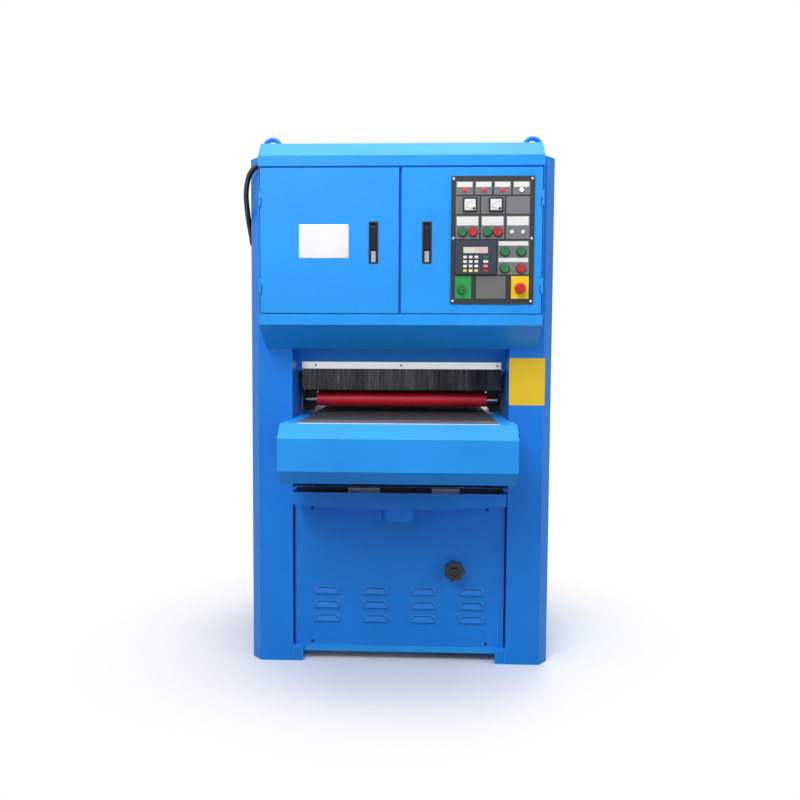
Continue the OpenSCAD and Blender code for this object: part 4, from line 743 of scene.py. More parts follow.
SHELF = Shelf([
    PowderCoat("light_blue_powder_coat", LIGHT_BLUE),
    PowderCoat("blue_powder_coat", BLUE),
    BrushedMetal("brushed_stainless", srgb(214, 216, 218), rough=0.36, stretch=(0.04, 1, 1)),
    BrushedMetal("bright_aluminium", srgb(222, 224, 226), rough=0.3, stretch=(0.03, 1, 1)),
    BrushedMetal("turned_steel", srgb(178, 180, 182), rough=0.3, stretch=(1, 0.05, 0.05)),
    BrushedMetal("chrome", srgb(176, 178, 182), rough=0.2, relief=0.03),
    BrushedMetal("dark_lever_metal", srgb(46, 48, 52), rough=0.3, relief=0.06),
    BrushedMetal("black_iron", srgb(52, 54, 56), rough=0.5, grain_mm=3, relief=0.3),
    Hair("filament", srgb(20, 20, 22), rough=0.42, tip=srgb(186, 186, 180), drift=0.02),
    SleevedRoller("red_sleeve_roller", srgb(240, 34, 70), rough=0.42, relief=0.12,
                  grain_mm=1.2, drift=0.06, shaft=srgb(190, 190, 192)),
    Finish("black_rubber", srgb(28, 28, 30), rough=0.6, relief=0.25, grain_mm=0.9),
    Abrasive("conveyor_rubber", srgb(58, 60, 62), rough=0.72, relief=0.5, depth_mm=0.5,
             cell_mm=2.4),
    Abrasive("abrasive_grit", srgb(118, 66, 38), rough=0.85, relief=0.7, depth_mm=0.4),
    Abrasive("brush_grit", srgb(98, 84, 60), rough=0.85, relief=0.7, depth_mm=0.6, cell_mm=2.2),
    Finish("motor_grey", srgb(104, 112, 118), rough=0.5, relief=0.2, grain_mm=1.4),
    Finish("black_plastic", BLACK, rough=0.36, relief=0.15, grain_mm=0.5, drift=0.04),
    Finish("black_powder", srgb(30, 31, 34), rough=0.5, relief=0.2, grain_mm=0.8),
    ModulePlastic("module_plastic", GREY, rough=0.45, grain_mm=0.7, boxes=(
        (GREEN_BOX, *module_box(4, 0)), (YELLOW, *module_box(4, 2)),
        (PLAIN_GREY, *module_box(4, 1)), (NAVY, *CONTROLLER))),
    ModulePlastic("instrument_plastic", srgb(30, 31, 33), rough=0.4, grain_mm=0.5, boxes=(
        (NAVY, *CONTROLLER), (PALE, *module_box(2, 2)),
        (srgb(170, 172, 174), PANEL_X, (PANEL_Z[1] - 66, PANEL_Z[1]))), drift=0.03),
    Finish("white_label", srgb(236, 237, 235), rough=0.5, relief=0.05, drift=0.02),
    Finish("yellow_plate", srgb(244, 204, 24), rough=0.45, relief=0.05, drift=0.03),
    *(Finish(f"{name}_button", srgb(*tone), rough=0.3, relief=0.05, drift=0.04)
      for name, tone in (("green", (16, 120, 58)), ("red", (206, 22, 32)))),
    *(Finish(f"key_{name}", srgb(*tone), rough=0.4, relief=0.08, grain_mm=0.4)
      for name, tone in (("white", (238, 238, 232)), ("yellow", (238, 208, 78)),
                         ("rose", (232, 140, 140)))),
    Finish("dial_white", srgb(240, 240, 236), rough=0.25, relief=0.02, drift=0.02),
    Finish("dial_black", srgb(16, 16, 18), rough=0.3, relief=0.02),
    Glow("lamp_red", srgb(216, 30, 40), rough=0.2, glow=0.5, relief=0.02),
    Glow("lamp_lit", srgb(250, 224, 232), rough=0.2, glow=0.9, relief=0.02),
    Glow("display_pale", srgb(196, 204, 196), rough=0.2, glow=0.25, relief=0.02),
    Glow("digit_red", srgb(226, 40, 34), rough=0.3, glow=0.8, relief=0.02),
    *(Finish(f"wire_{name}", srgb(*tone), rough=0.45, relief=0.03)
      for name, tone in (("black", (26, 26, 28)), ("red", (190, 30, 34)),
                         ("blue", (28, 76, 170)))),
    Finish("device_grey", srgb(196, 198, 198), rough=0.5, relief=0.1, grain_mm=0.8),
])

# The finish of the CAD's own nodes: by the record's material slot, where its name isn't
# that of a finish, or by the node's own name
SLOT_FINISHES = {
    "powder_light": "light_blue_powder_coat", "powder_blue": "blue_powder_coat",
    "stainless": "brushed_stainless", "aluminium_bar": "bright_aluminium",
    "rubber_belt": "conveyor_rubber", "black_conveyor_rubber": "black_rubber",
    "steel_roller": "turned_steel", "abrasive": "abrasive_grit",
    "abrasive_brush": "brush_grit", "chrome_lock": "chrome", "bristle": "filament",
}
NODE_FINISHES = {
    "panel_modules": "module_plastic", "panel_instruments": "instrument_plastic",
    "control_panel": "black_powder", "component_plate": "device_grey",
    "left_latch_lever": "dark_lever_metal", "right_latch_lever": "dark_lever_metal",
    "power_selector": "green_button",
    "front_hold_down_roller": "red_sleeve_roller", "rear_hold_down_roller": "red_sleeve_roller",
}


def dress_nodes() -> None:
    """Gives every CAD node the procedural finish of its slot, or its own."""
    for row in frame["record"]["subparts"]:
        node, slot_name = row["node"], row["material_slot"]
        name = NODE_FINISHES.get(node, SLOT_FINISHES.get(slot_name, slot_name))
        shown = frame["nodes"][node]
        if not shown.data.materials:
            shown.data.materials.append(None)
        for slot in shown.material_slots:
            slot.material = SHELF[name]
        LOG.info("%s takes %s", node, name)


# ---- sub-assemblies

def screws(name: str, diameter: float, places: Iterable[Sequence[float]],
           body: str = Body.FRAME, slot: str = "black_iron", finish: str = "black_iron",
           facing: Facing = Facing.FRONT) -> None:
    """Adds socket screws of one size, as one piece.

    Args:
        name: the piece's name.
        diameter: the heads' diameter.
        places: where each head sits, in millimetres.
        body, slot, finish: as for any piece.
        facing: the way that the heads face.
    """
    piece(name, join([socket_screw(diameter, at, facing) for at in places]), body, slot, finish)


def turned_ring(profile: np.ndarray, at: Sequence[float], facing: Facing = Facing.FRONT,
                count: int = 32) -> Mesh:
    """Turns a closed profile about the forward axis.

    The profile's (radius, height) point goes to at + radius * (right * cos + up * sin)
    + forward * height, for equal angles all the way round.

    Args:
        profile: (radius, height) rows, counterclockwise.
        at: the middle of the back, in millimetres.
        facing: the way that the axis points.
        count: the steps round.

    Returns:
        The closed ring.
    """
    right, up, forward = (np.array(axis, float) for axis in facing.value)
    angle = np.arange(count) * 2 * math.pi / count
    spoke = np.cos(angle)[:, None] * right + np.sin(angle)[:, None] * up
    points = (np.array(at, float) + profile[None, :, :1] * spoke[:, None, :]
              + profile[None, :, 1:] * forward).reshape(-1, 3)
    return points, [wrapped(count, len(profile))]


@dataclass
class Cabinet:
    """The switch cabinet: bare plates, door seals, wires and lock details.

    Attributes:
        name_plate: the bare silver plate's X and Z limits on the left door.
        side_plate: the bare yellow plate's limits on the right column.
        rivet_in: how far the rivets stand in from the name plate's edges.
        door_face, jamb_face: where the doors' faces and the jambs lie on Y.
        opening_x: a door opening's inner and outer edge from the middle.
        opening_z: the openings' middle height and their height.
        corner: the radius of an opening's corners.
        seal: the seal's width, thickness and edge radius.
        wire_rows: the rows of wires, as shares of the component plate's height.
        wires_in_row: the wires in one row.
        wire_in: how far the rows stop short of the component plate's sides.
        wire_z: where a wire starts and ends, over its row.
        wire_r: a wire's radius.
        wire_tones: the finishes that the wires draw from.
    """

    name_plate: Limits = (-346, -176, 1466, 1579)
    side_plate: Limits = (392, 520, 957, 1127)
    rivet_in: float = 7
    door_face: float = FRONT - 150
    jamb_face: float = FRONT - 128
    opening_x: tuple[float, float] = (32, 460)
    opening_z: tuple[float, float] = (1526, 444)
    corner: float = 14
    seal: tuple[float, float, float] = (10, 1.8, 0.8)
    wire_rows: tuple[float, ...] = (0.20, 0.48, 0.76)
    wires_in_row: int = 58
    wire_in: float = 40
    wire_z: tuple[float, float] = (36, 62)
    wire_r: float = 1.1
    wire_tones: tuple[str, ...] = ("wire_black", "wire_red", "wire_blue", "wire_black")

    @staticmethod
    def _sheet(limits: Limits, thick: float, y: float, radius: float) -> Mesh:
        """Builds a plate between its X and Z limits."""
        x0, x1, z0, z1 = limits
        return plate(x1 - x0, z1 - z0, thick, ((x0 + x1) / 2, y, (z0 + z1) / 2), radius=radius)

    def plates(self) -> None:
        """Adds the two plates, which carry nothing, and the name plate's rivets."""
        thick = 1.0
        piece("name_plate_blank", self._sheet(self.name_plate, thick, self.door_face, 3),
              Body.LEFT_DOOR, "stainless", "bright_aluminium")
        x0, x1, z0, z1 = self.name_plate
        rivets = [(x, self.door_face - thick, z)
                  for x in (x0 + self.rivet_in, x1 - self.rivet_in)
                  for z in (z0 + self.rivet_in, z1 - self.rivet_in)]
        head = [(-0.1, 0), (0.6, 0.1), (1.3, 0.9), (1.6, 1.8)]
        piece("name_plate_rivets", join([disc(5, head, at, count=12) for at in rivets]),
              Body.LEFT_DOOR, "stainless", "chrome")
        piece("side_plate_blank", self._sheet(self.side_plate, 0.8, FRONT, 4),
              Body.FRAME, "module_grey", "yellow_plate")

    def seals(self) -> None:
        """Adds the rubber seal that each closed door presses on, along its opening."""
        inner, outer = self.opening_x
        middle_z, high = self.opening_z
        outline = rounded(outer - inner, high, self.corner, 6)
        depth = np.full(len(outline), self.jamb_face - self.seal[1] / 2)
        for name, side in (("left", -1), ("right", 1)):
            path = np.stack([side * (inner + outer) / 2 + outline[:, 0], depth,
                             middle_z + outline[:, 1]], axis=1)
            piece(f"{name}_door_seal", self._strip(path), Body.FRAME, "black_rubber",
                  "black_rubber")

    def _strip(self, path: np.ndarray) -> Mesh:
        """Carries the seal's flat section along a closed path in one plane."""
        section = rounded(*self.seal, 3)
        along = np.roll(path, -1, axis=0) - np.roll(path, 1, axis=0)
        along /= np.linalg.norm(along, axis=1, keepdims=True)
        depth = np.array([0.0, 1.0, 0.0])
        side = np.cross(along, depth)
        points = (path[:, None, :] + section[None, :, :1] * side[:, None, :]
                  + section[None, :, 1:] * depth).reshape(-1, 3)
        return points, [wrapped(len(path), len(section))]

    def wiring(self) -> None:
        """Adds the rows of coloured wire that rise from the devices to the ducts.

        Each wire's middle line runs on start * (1 - t) + end * t, and moves forward by a
        hump of sin(pi * t).
        """
        low, high = np.array(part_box("component_plate")) / MM
        chance = np.random.default_rng(11)
        t = np.linspace(0, 1, 9)
        wires: dict[str, list[Mesh]] = {tone: [] for tone in self.wire_tones}
        for share in self.wire_rows:
            level = low[2] + share * (high[2] - low[2])
            for x in np.linspace(low[0] + self.wire_in, high[0] - self.wire_in,
                                 self.wires_in_row):
                tone = self.wire_tones[chance.integers(len(self.wire_tones))]
                start = np.array([x, low[1] + 2, level + self.wire_z[0]])
                end = np.array([x + chance.normal(0, 5), low[1] + 9, level + self.wire_z[1]])
                path = start * (1 - t[:, None]) + end * t[:, None]
                path[:, 1] -= (5 + chance.uniform(0, 3)) * np.sin(math.pi * t)
                wires[tone].append(sweep(path, np.full(len(t), self.wire_r), 6))
        for tone, meshes in wires.items():
            piece(tone, join(meshes), Body.FRAME, "black_plastic", tone)

    @staticmethod
    def key_barrels() -> None:
        """Adds the turned key barrel and its slot on each latch's lock."""
        profile = [(-0.3, 0), (0.9, 0), (1.3, 0.5), (1.3, 1.6), (0.9, 1.8), (0.9, 3)]
        barrel_r = 6
        for side in ("left", "right"):
            low, high = np.array(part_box(f"{side}_latch_lock")) / MM
            x, y, z = (low[0] + high[0]) / 2, low[1], low[2] + (high[0] - low[0]) / 2 + barrel_r
            piece(f"{side}_key_barrel", disc(2 * barrel_r, profile, (x, y, z), count=28),
                  f"{side}_latch_lock", "chrome_lock", "turned_steel")
            piece(f"{side}_key_slot", plate(1.6, 5.2, 0.5, (x, y - 0.8, z), radius=0.6,
                  bevel=0.1), f"{side}_latch_lock", "black_plastic", "dial_black")

    def build(self) -> None:
        """Builds the cabinet's own pieces."""
        self.plates()
        self.seals()
        self.wiring()
        self.key_barrels()


@dataclass
class ControlPanel:
    """Everything that stands on the panel's bezel and modules.

    Attributes:
        screw_d: the bezel's white cap screws.
        screw_in: how far they stand in from the bezel's sides and ends.
        screw_up: how far the middle ones stand above the bezel's middle.
        strip_in: the label strips' inset from their module's sides.
        strips: each strip's module row and index, distance from its top, and height.
        lens_d: the lamps' lenses.
        meter_y: where the meters' windows lie.
        window: the meters' windows' size.
        pivot: how far the needle's pivot lies from a window's middle.
        scale_r: the scale's radius about the pivot.
        needle: how far the needle's middle lies from there, and its place on the sweep.
        controller_t: how far the controller stands out.
        display: the display's limits, as shares of the controller's size.
        digit: a digit's width, as tall as a share of the display.
        key_columns: the key columns' middles and widths, as shares of the controller.
        key_z: the lowest key's lower edge and the step between the rows, as shares.
        key_rows: the keys' finishes, from the lowest row.
    """

    screw_d: float = 9
    screw_in: tuple[float, float] = (8, 9)
    screw_up: float = 6
    strip_in: float = 3.5
    strips: tuple[tuple[int, int, float, float], ...] = (
        *((0, k, 3, 17) for k in range(4)), *((2, k, 3, 30) for k in range(3)),
        (3, 1, 3, 14), (3, 1, 58, 14))
    lens_d: float = 14.6
    meter_y: float = MODULE_Y - 6
    window: float = 38
    pivot: float = 13
    scale_r: float = 27
    needle: tuple[float, float] = (12, 0.93)
    controller_t: float = 9
    display: Limits = (0.19, 0.80, 0.62, 0.81)
    digit: tuple[float, float] = (6.4, 0.62)
    key_columns: tuple[tuple[float, float], ...] = (
        (0.235, 0.088), (0.375, 0.088), (0.515, 0.088), (0.745, 0.118))
    key_z: tuple[float, float] = (0.06, 0.134)
    key_rows: tuple[tuple[str, ...], ...] = (
        ("key_yellow", "key_white", "key_yellow", "red_button"),
        ("key_white",) * 3 + ("key_rose",),
        ("key_white",) * 4,
        ("key_white",) * 3 + ("green_button",))

    def bezel(self) -> None:
        """Adds the six white screws at the bezel's corners and mid-sides."""
        in_x, in_z = self.screw_in
        places = [(x, BEZEL_Y, z) for x in (PANEL_X[0] + in_x, PANEL_X[1] - in_x)
                  for z in (PANEL_Z[0] + in_z, sum(PANEL_Z) / 2 + self.screw_up,
                            PANEL_Z[1] - in_z)]
        screws("bezel_screws", self.screw_d, places, Body.RIGHT_DOOR, "module_grey",
               "white_label")

    def labels(self) -> None:
        """Adds the blank white label strips over the rows of lamps and buttons."""
        made = []
        for row, index, top, high in self.strips:
            x, z = module_box(row, index)
            made.append(plate(x[1] - x[0] - 2 * self.strip_in, high, 1.0,
                              (sum(x) / 2, MODULE_Y, z[1] - top - high / 2), radius=1))
        piece("label_strips_blank", join(made), Body.RIGHT_DOOR, "module_grey", "white_label")

    def lamps(self) -> None:
        """Adds a domed lens on each lamp: three red ones and a lit pale one."""
        turn = np.linspace(0, math.pi / 2 * 0.97, 8)
        dome = [(1.5, 0)] + [(2.4 + 4.2 * math.sin(t), 7 * (1 - math.cos(t))) for t in turn]
        lenses = [disc(self.lens_d, dome, (x, MODULE_Y, z)) for x, z in LAMPS]
        piece("lamp_lenses_red", join(lenses[:3]), Body.RIGHT_DOOR, "red_button", "lamp_red")
        piece("lamp_lens_lit", lenses[3], Body.RIGHT_DOOR, "red_button", "lamp_lit")

    def meters(self) -> None:
        """Adds the ammeters' dials, scales and needles.

        A scale mark at share s of the sweep stands at the pivot plus a radius times
        (-sin, cos) of 90 degrees times s, turned to point at the pivot.
        """
        dials, marks = [], []
        for x, z in METERS:
            dials.append(plate(self.window - 1, self.window - 1, 0.5, (x, self.meter_y, z)))
            pivot = (x + self.pivot, z - self.pivot)
            for index, share in enumerate(np.linspace(0.04, 0.96, 21)):
                long, wide = (4.2, 0.7) if index % 5 == 0 else (2.4, 0.4)
                reach = self.scale_r - long / 2
                marks.append(self._bar(pivot, reach, share, (long, wide), 0.55))
            marks.append(self._bar(pivot, *self.needle, (25, 0.7), 1.0))
            marks.append(disc(9, [(0.4, 0), (1.2, 0), (1.4, 0.4)],
                              (pivot[0], self.meter_y, pivot[1])))
        piece("meter_dials", join(dials), Body.RIGHT_DOOR, "module_grey", "dial_white")
        piece("meter_scales", join(marks), Body.RIGHT_DOOR, "black_plastic", "dial_black")

    def _bar(self, pivot: tuple[float, float], reach: float, share: float,
             size: tuple[float, float], front: float) -> Mesh:
        """Builds a flat bar on a dial.

        Args:
            pivot: the point that it points at.
            reach: how far its middle lies from there.
            share: its place on the sweep.
            size: its length and width.
            front: its height over the dial.

        Returns:
            The mesh in millimetres.
        """
        long, wide = size
        sin, cos = math.sin(math.pi / 2 * share), math.cos(math.pi / 2 * share)
        middle = (pivot[0] - reach * sin, self.meter_y, pivot[1] + reach * cos)
        turn = np.array([[cos, sin], [-sin, cos]])
        return boss(lambda inset: rounded(wide - inset, long - inset, wide * 0.3, 2) @ turn,
                    [(0.3, 0), (front, 0), (front + 0.15, wide * 0.2)], middle)

    def controller(self) -> None:
        """Adds the controller's display with its digits, and its keys."""
        (x0, x1), (z0, z1) = CONTROLLER
        wide, high = x1 - x0, z1 - z0
        face = MODULE_Y - self.controller_t
        left, right = (x0 + share * wide for share in self.display[:2])
        low, top = (z0 + share * high for share in self.display[2:])
        middle_z = (low + top) / 2
        piece("display_glass", plate(right - left - 0.8, top - low - 0.8, 0.6,
              ((left + right) / 2, face + 1.5, middle_z)), Body.RIGHT_DOOR, "module_grey",
              "display_pale")
        broad, tall = self.digit[0], (top - low) * self.digit[1]
        digits = []
        for k in range(4):
            x = left + (right - left) * (0.50 + 0.125 * k)
            for dx, dz in ((0, 0.5), (0, 0), (0, -0.5), (-0.5, 0.25), (0.5, 0.25),
                           (-0.5, -0.25), (0.5, -0.25)):
                size = (1.0, tall * 0.42) if dx else (broad * 0.72, 1.0)
                at = (x + dx * broad, face + 1.1, middle_z + dz * tall)
                digits.append(plate(*size, 0.5, at, radius=0.4, bevel=0.1))
        piece("display_digits", join(digits), Body.RIGHT_DOOR, "red_button", "digit_red")
        keys: dict[str, list[Mesh]] = {tone: [] for tone in (
            "key_white", "key_yellow", "key_rose", "green_button", "red_button")}
        for row, tones in enumerate(self.key_rows):
            for (across, broad_share), tone in zip(self.key_columns, tones):
                up = self.key_z[0] + row * self.key_z[1] + 0.044
                at = (x0 + across * wide, face + 1.5, z0 + high * up)
                keys[tone].append(plate(broad_share * wide, high * 0.088 - 1.2, 2.6, at,
                                        radius=1.2, bevel=0.5))
        for tone, meshes in keys.items():
            piece(f"keys_{tone}", join(meshes), Body.RIGHT_DOOR, "module_grey", tone)

    @staticmethod
    def rings() -> None:
        """Adds the dark ring round each push button, outside the module's collar."""
        inner, outer, back, high = 15.2, 17.0, -0.2, 3.4
        edge = (outer - inner) * 0.3
        profile = np.array([[inner, back], [outer, back], [outer, high - edge],
                            [outer - edge * 0.3, high - edge * 0.3], [outer - edge, high],
                            [inner + edge, high], [inner, high - edge]])
        made = [turned_ring(profile, (x, MODULE_Y, z)) for x, z in BUTTONS]
        piece("button_rings", join(made), Body.RIGHT_DOOR, "black_plastic", "dark_lever_metal")

    def build(self) -> None:
        """Builds the panel's pieces."""
        self.bezel()
        self.labels()
        self.lamps()
        self.meters()
        self.controller()
        self.rings()


@dataclass
class BrushCurtain:
    """The row of filament that hangs from the aluminium holder, and what is round it.

    Attributes:
        count: how many hairs.
        bands: the rows that they stand in.
        sides, rings: the points round a hair, and along it.
        root_mm: a hair's radius at its root.
        spread: how far a hair's tip may lean.
        screw_x, screw_z: the holder's screws' places.
    """

    count: int = 3000
    bands: int = 4
    sides: int = 3
    rings: int = 5
    root_mm: float = 0.62
    spread: float = 3.2
    screw_x: tuple[float, ...] = (-325.08, 0, 362.88)
    screw_z: float = 1096

    def hairs(self) -> tuple[Mesh, np.ndarray]:
        """Works out every hair at once.

        At share s of its length a hair lies at its root + lean * s squared + a wave of
        sin(pi * s), and its radius is root * (1 - 0.45 s).

        Returns:
            The mesh in millimetres, and each vertex's tint.
        """
        low, high = np.array(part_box("bristle_curtain")) / MM
        chance = np.random.default_rng(7)
        n = self.count
        x = low[0] + 1.5 + (high[0] - low[0] - 3) * (np.arange(n) + chance.uniform(0, 1, n)) / n
        band = (np.arange(n) % self.bands + 0.5) / self.bands
        y = low[1] + 0.9 + (high[1] - low[1] - 1.8) * band
        root = np.stack([x, y, np.full(n, high[2] - 0.5)], axis=1)
        length = (high[2] - low[2] - 1.5) * (1 - chance.uniform(0, 0.06, n) ** 1.5)
        lean = np.stack([chance.normal(0, self.spread, n), chance.normal(0, 0.6, n)], axis=1)
        wave = chance.normal(0, 0.7, n)
        share = np.linspace(0, 1, self.rings)
        middle = np.repeat(root[:, None, :], self.rings, axis=1)
        middle[:, :, 0] += lean[:, :1] * share ** 2 + wave[:, None] * np.sin(math.pi * share)
        middle[:, :, 1] += lean[:, 1:] * share ** 2
        middle[:, :, 2] -= length[:, None] * share
        middle[:, :, 0] = np.clip(middle[:, :, 0], low[0] - 3, high[0] + 3)
        radius = self.root_mm * (1 - 0.45 * share)
        around = np.column_stack([circle(2, self.sides), np.zeros(self.sides)]) * (1, -1, 1)
        points = middle[:, :, None, :] + radius[None, :, None, None] * around[None, None]
        size = self.rings * self.sides
        first = np.arange(n)[:, None] * size
        i = (first + np.arange(self.rings - 1) * self.sides)[:, :, None]
        j = np.arange(self.sides)
        k = (j + 1) % self.sides
        walls = np.stack([i + j, i + k, i + self.sides + k, i + self.sides + j],
                         axis=-1).reshape(-1, 4)
        roots = first + np.array([[2, 1, 0]])
        tips = first + size - self.sides + np.array([[0, 1, 2]])
        cloud = 0.5 + 0.5 * np.sin(x / 47.0 + 1.7 * np.sin(x / 83.0)) * np.sin(x / 21.0)
        tint = np.clip(chance.beta(1.0, 2.6, n) * (0.35 + 0.8 * cloud), 0, 1)
        return (points.reshape(-1, 3), [walls, roots, tips]), np.repeat(tint, size)

    def build(self) -> None:
        """Builds the hair, the dark plates that stand in for the shade in the throat (painted
        shade), and the holder's screws.
        """
        mesh, tint = self.hairs()
        hair = piece("filament_curtain", mesh, Body.FRAME, "bristle", "filament", tint=tint)
        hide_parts("bristle_curtain")
        # painted shade: dark plates beside the roller stand in for the shade inside the throat,
        # and keep out the light from the rear opening
        piece("throat_shade_plates", pair(57, 142, 361, FRONT + 262, 1003), Body.FRAME,
              "black_iron", "black_powder")
        screws("holder_screws", 9, [(x, FRONT + 150, self.screw_z) for x in self.screw_x],
               slot="stainless", finish="turned_steel")


@dataclass
class ConveyorTable:
    """The lifting table's own small pieces.

    Attributes:
        cover_half: half the cover's width.
        cover_y, cover_z: its screws' places.
        plate_x, plate_y: the infeed plate's flush screws' places.
        plate_top: the height of its upper face.
    """

    cover_half: float = 386
    cover_y: tuple[float, ...] = (FRONT - 296, FRONT - 340)
    cover_z: tuple[float, ...] = (880, 780)
    plate_x: tuple[float, ...] = (-316, 0, 316)
    plate_y: tuple[float, ...] = (FRONT - 308, FRONT - 204)
    plate_top: float = 915

    def build(self) -> None:
        """Adds the cover's side screws, the infeed plate's screws and the small dark plates
        that stand in for shade beside the belt's ends (painted shade).
        """
        sides = [hex_screw(10, (side * self.cover_half, y, z), facing)
                 for side, facing in ((-1, Facing.LEFT), (1, Facing.RIGHT))
                 for y in self.cover_y for z in self.cover_z]
        piece("cover_screws", join(sides), Body.TABLE, "black_iron", "black_iron")
        places = [(x, y, self.plate_top) for x in self.plate_x for y in self.plate_y]
        head = [(-0.4, 0), (0.15, 0), (0.3, 0.5), (0.3, 3.2), (-0.3, 3.6)]
        piece("plate_screws", join([disc(11, head, at, Facing.TOP, 18) for at in places]),
              Body.TABLE, "stainless", "turned_steel")
        # painted shade: small dark plates on the table beside the belt's ends hide the light
        # from the rear, standing in for shade behind the roller
        piece("table_shade_plates", pair(44, 34, 364, FRONT + 268, 932), Body.TABLE,
              "black_rubber", "black_powder")


@dataclass
class LowerFront:
    """The lower front's screws, louvre shade lines, tray back, wheel cap and outlet bead; the
    louvre lines and the tray back's dark sheet are painted shade.

    Attributes:
        panel_y: where the lower panel's face lies.
        wheel: the handwheel's front middle.
        louvre_x, louvre_z: the louvres' middles.
        louvre_high, louvre_out: a louvre's height, and how far its lower edge stands out.
        tray_z, tray_high: the middle and height of the dark sheet at the tray's back (painted
            shade).
        bare_x: the X limits of the bare plates on it.
    """

    panel_y: float = FRONT + 20
    wheel: tuple[float, float, float] = (202, FRONT - 25, 350)
    louvre_x: tuple[float, ...] = (-267, -89, 89, 267)
    louvre_z: tuple[float, ...] = (161, 213, 265)
    louvre_high: float = 26
    louvre_out: float = 8
    tray_z: float = 628
    tray_high: float = 44
    bare_x: tuple[tuple[float, float], ...] = ((-190, -73), (118, 219))

    def louvre_shade_lines(self) -> None:
        """Adds a dark line along each louvre's upper edge, a bent line with sloping ends:
        painted shade, a shadow gap where the hood meets the panel.

        Each point lies on the louvre's slope: louvre_out times its distance below the
        louvre's top, over its height.
        """
        corners = np.array([[-43, -8.5], [-31, 7], [31, 7], [43, -8.5]])
        spans = np.linspace(0, 1, 8)[None, :-1, None]
        line = (corners[:-1, None] * (1 - spans) + corners[1:, None] * spans).reshape(-1, 2)
        across, up = np.vstack([line, corners[-1:]]).T
        below = np.clip(self.louvre_high / 2 - up, 0, self.louvre_high)
        y = self.panel_y - self.louvre_out * below / self.louvre_high + 0.6
        slots = [sweep(np.stack([x + across, y, z + up], axis=1), np.full(len(y), 1.7), 8)
                 for x in self.louvre_x for z in self.louvre_z]
        # painted shade: the dark lines stand for a shadow gap along each louvre's upper edge
        piece("louvre_shade_lines", join(slots), Body.FRAME, "black_rubber", "dial_black")

    def tray_back(self) -> None:
        """Adds a dark sheet at the tray's back, painted shade for the dark inside behind the
        tray, and the two bare plates on it.
        """
        # painted shade: a dark sheet over the tray's back wall stands for the shade inside the
        # tray
        shade_sheet = plate(740, self.tray_high, 1.2, (0, self.panel_y - 3, self.tray_z))
        piece("tray_back_shade_sheet", shade_sheet, Body.FRAME, "black_rubber", "black_powder")
        plates = [plate(high - low, self.tray_high - 4, 1.2,
                        ((low + high) / 2, self.panel_y - 4.4, self.tray_z))
                  for low, high in self.bare_x]
        piece("tray_bare_plates", join(plates), Body.FRAME, "stainless", "brushed_stainless")

    def build(self) -> None:
        """Builds the lower front's pieces."""
        screws("lower_panel_screws", 10, [(x, self.panel_y, z) for x in (-322, 322)
                                          for z in (69, 571)])
        self.louvre_shade_lines()
        self.tray_back()
        piece("rail_end_caps", pair(28, 47.5, 373.75, FRONT + 3, 28, thick=2.5, radius=2),
              Body.FRAME, "powder_blue", "blue_powder_coat")
        x, y, z = self.wheel
        cap = disc(26, [(-0.3, 0), (1.2, 0), (2.6, 1.4), (3.0, 4.5)], (x, y, z))
        piece("handwheel_cap", join([cap, socket_screw(9, (x, y - 3.0, z))]),
              "speed_handwheel", "black_plastic", "black_plastic")
        bead = circle(2, 8) * (1.0, 1.6) + (62.9, 0)
        piece("outlet_bead", turned_ring(bead, (0, FRONT - 50, 549.5), Facing.TOP, 56),
              Body.FRAME, "powder_blue", "blue_powder_coat")


@dataclass
class OuterCovers:
    """The screws of the side and rear covers.

    Attributes:
        screw_d: the screws' heads.
        side_x: how far out the side covers' faces lie.
        side_y: the screws' Y places along a side cover.
        side_z: their heights; the middle column has the first and the last only.
        rear_y: how far back the rear covers' faces lie.
        rear_x, rear_z: the rear covers' rows of screws.
        rear_mid_z: the heights of the screws at mid-side, in the outer columns only.
    """

    screw_d: float = 12
    side_x: float = 550
    side_y: tuple[float, ...] = (FRONT + 184, FRONT + 475, FRONT + 766)
    side_z: tuple[float, ...] = (134, 660, 1190, 1716)
    rear_y: float = FRONT + 850
    rear_x: tuple[float, ...] = (-370, -125, 125, 370)
    rear_z: tuple[float, ...] = (86, 625, 1105, 1810)
    rear_mid_z: tuple[float, ...] = (355, 1458)

    def build(self) -> None:
        """Builds the screws along the covers' edges."""
        edge = [(y, z) for y in self.side_y for z in self.side_z
                if y != self.side_y[1] or z in (self.side_z[0], self.side_z[-1])]
        rows = [("left", Facing.LEFT, [(-self.side_x, y, z) for y, z in edge]),
                ("right", Facing.RIGHT, [(self.side_x, y, z) for y, z in edge]),
                ("rear", Facing.REAR, [(x, self.rear_y, z) for x in self.rear_x
                                       for z in self.rear_z]
                 + [(x, self.rear_y, z) for x in (self.rear_x[0], self.rear_x[-1])
                    for z in self.rear_mid_z])]
        for name, facing, places in rows:
            screws(f"{name}_cover_screws", self.screw_d, places, facing=facing)


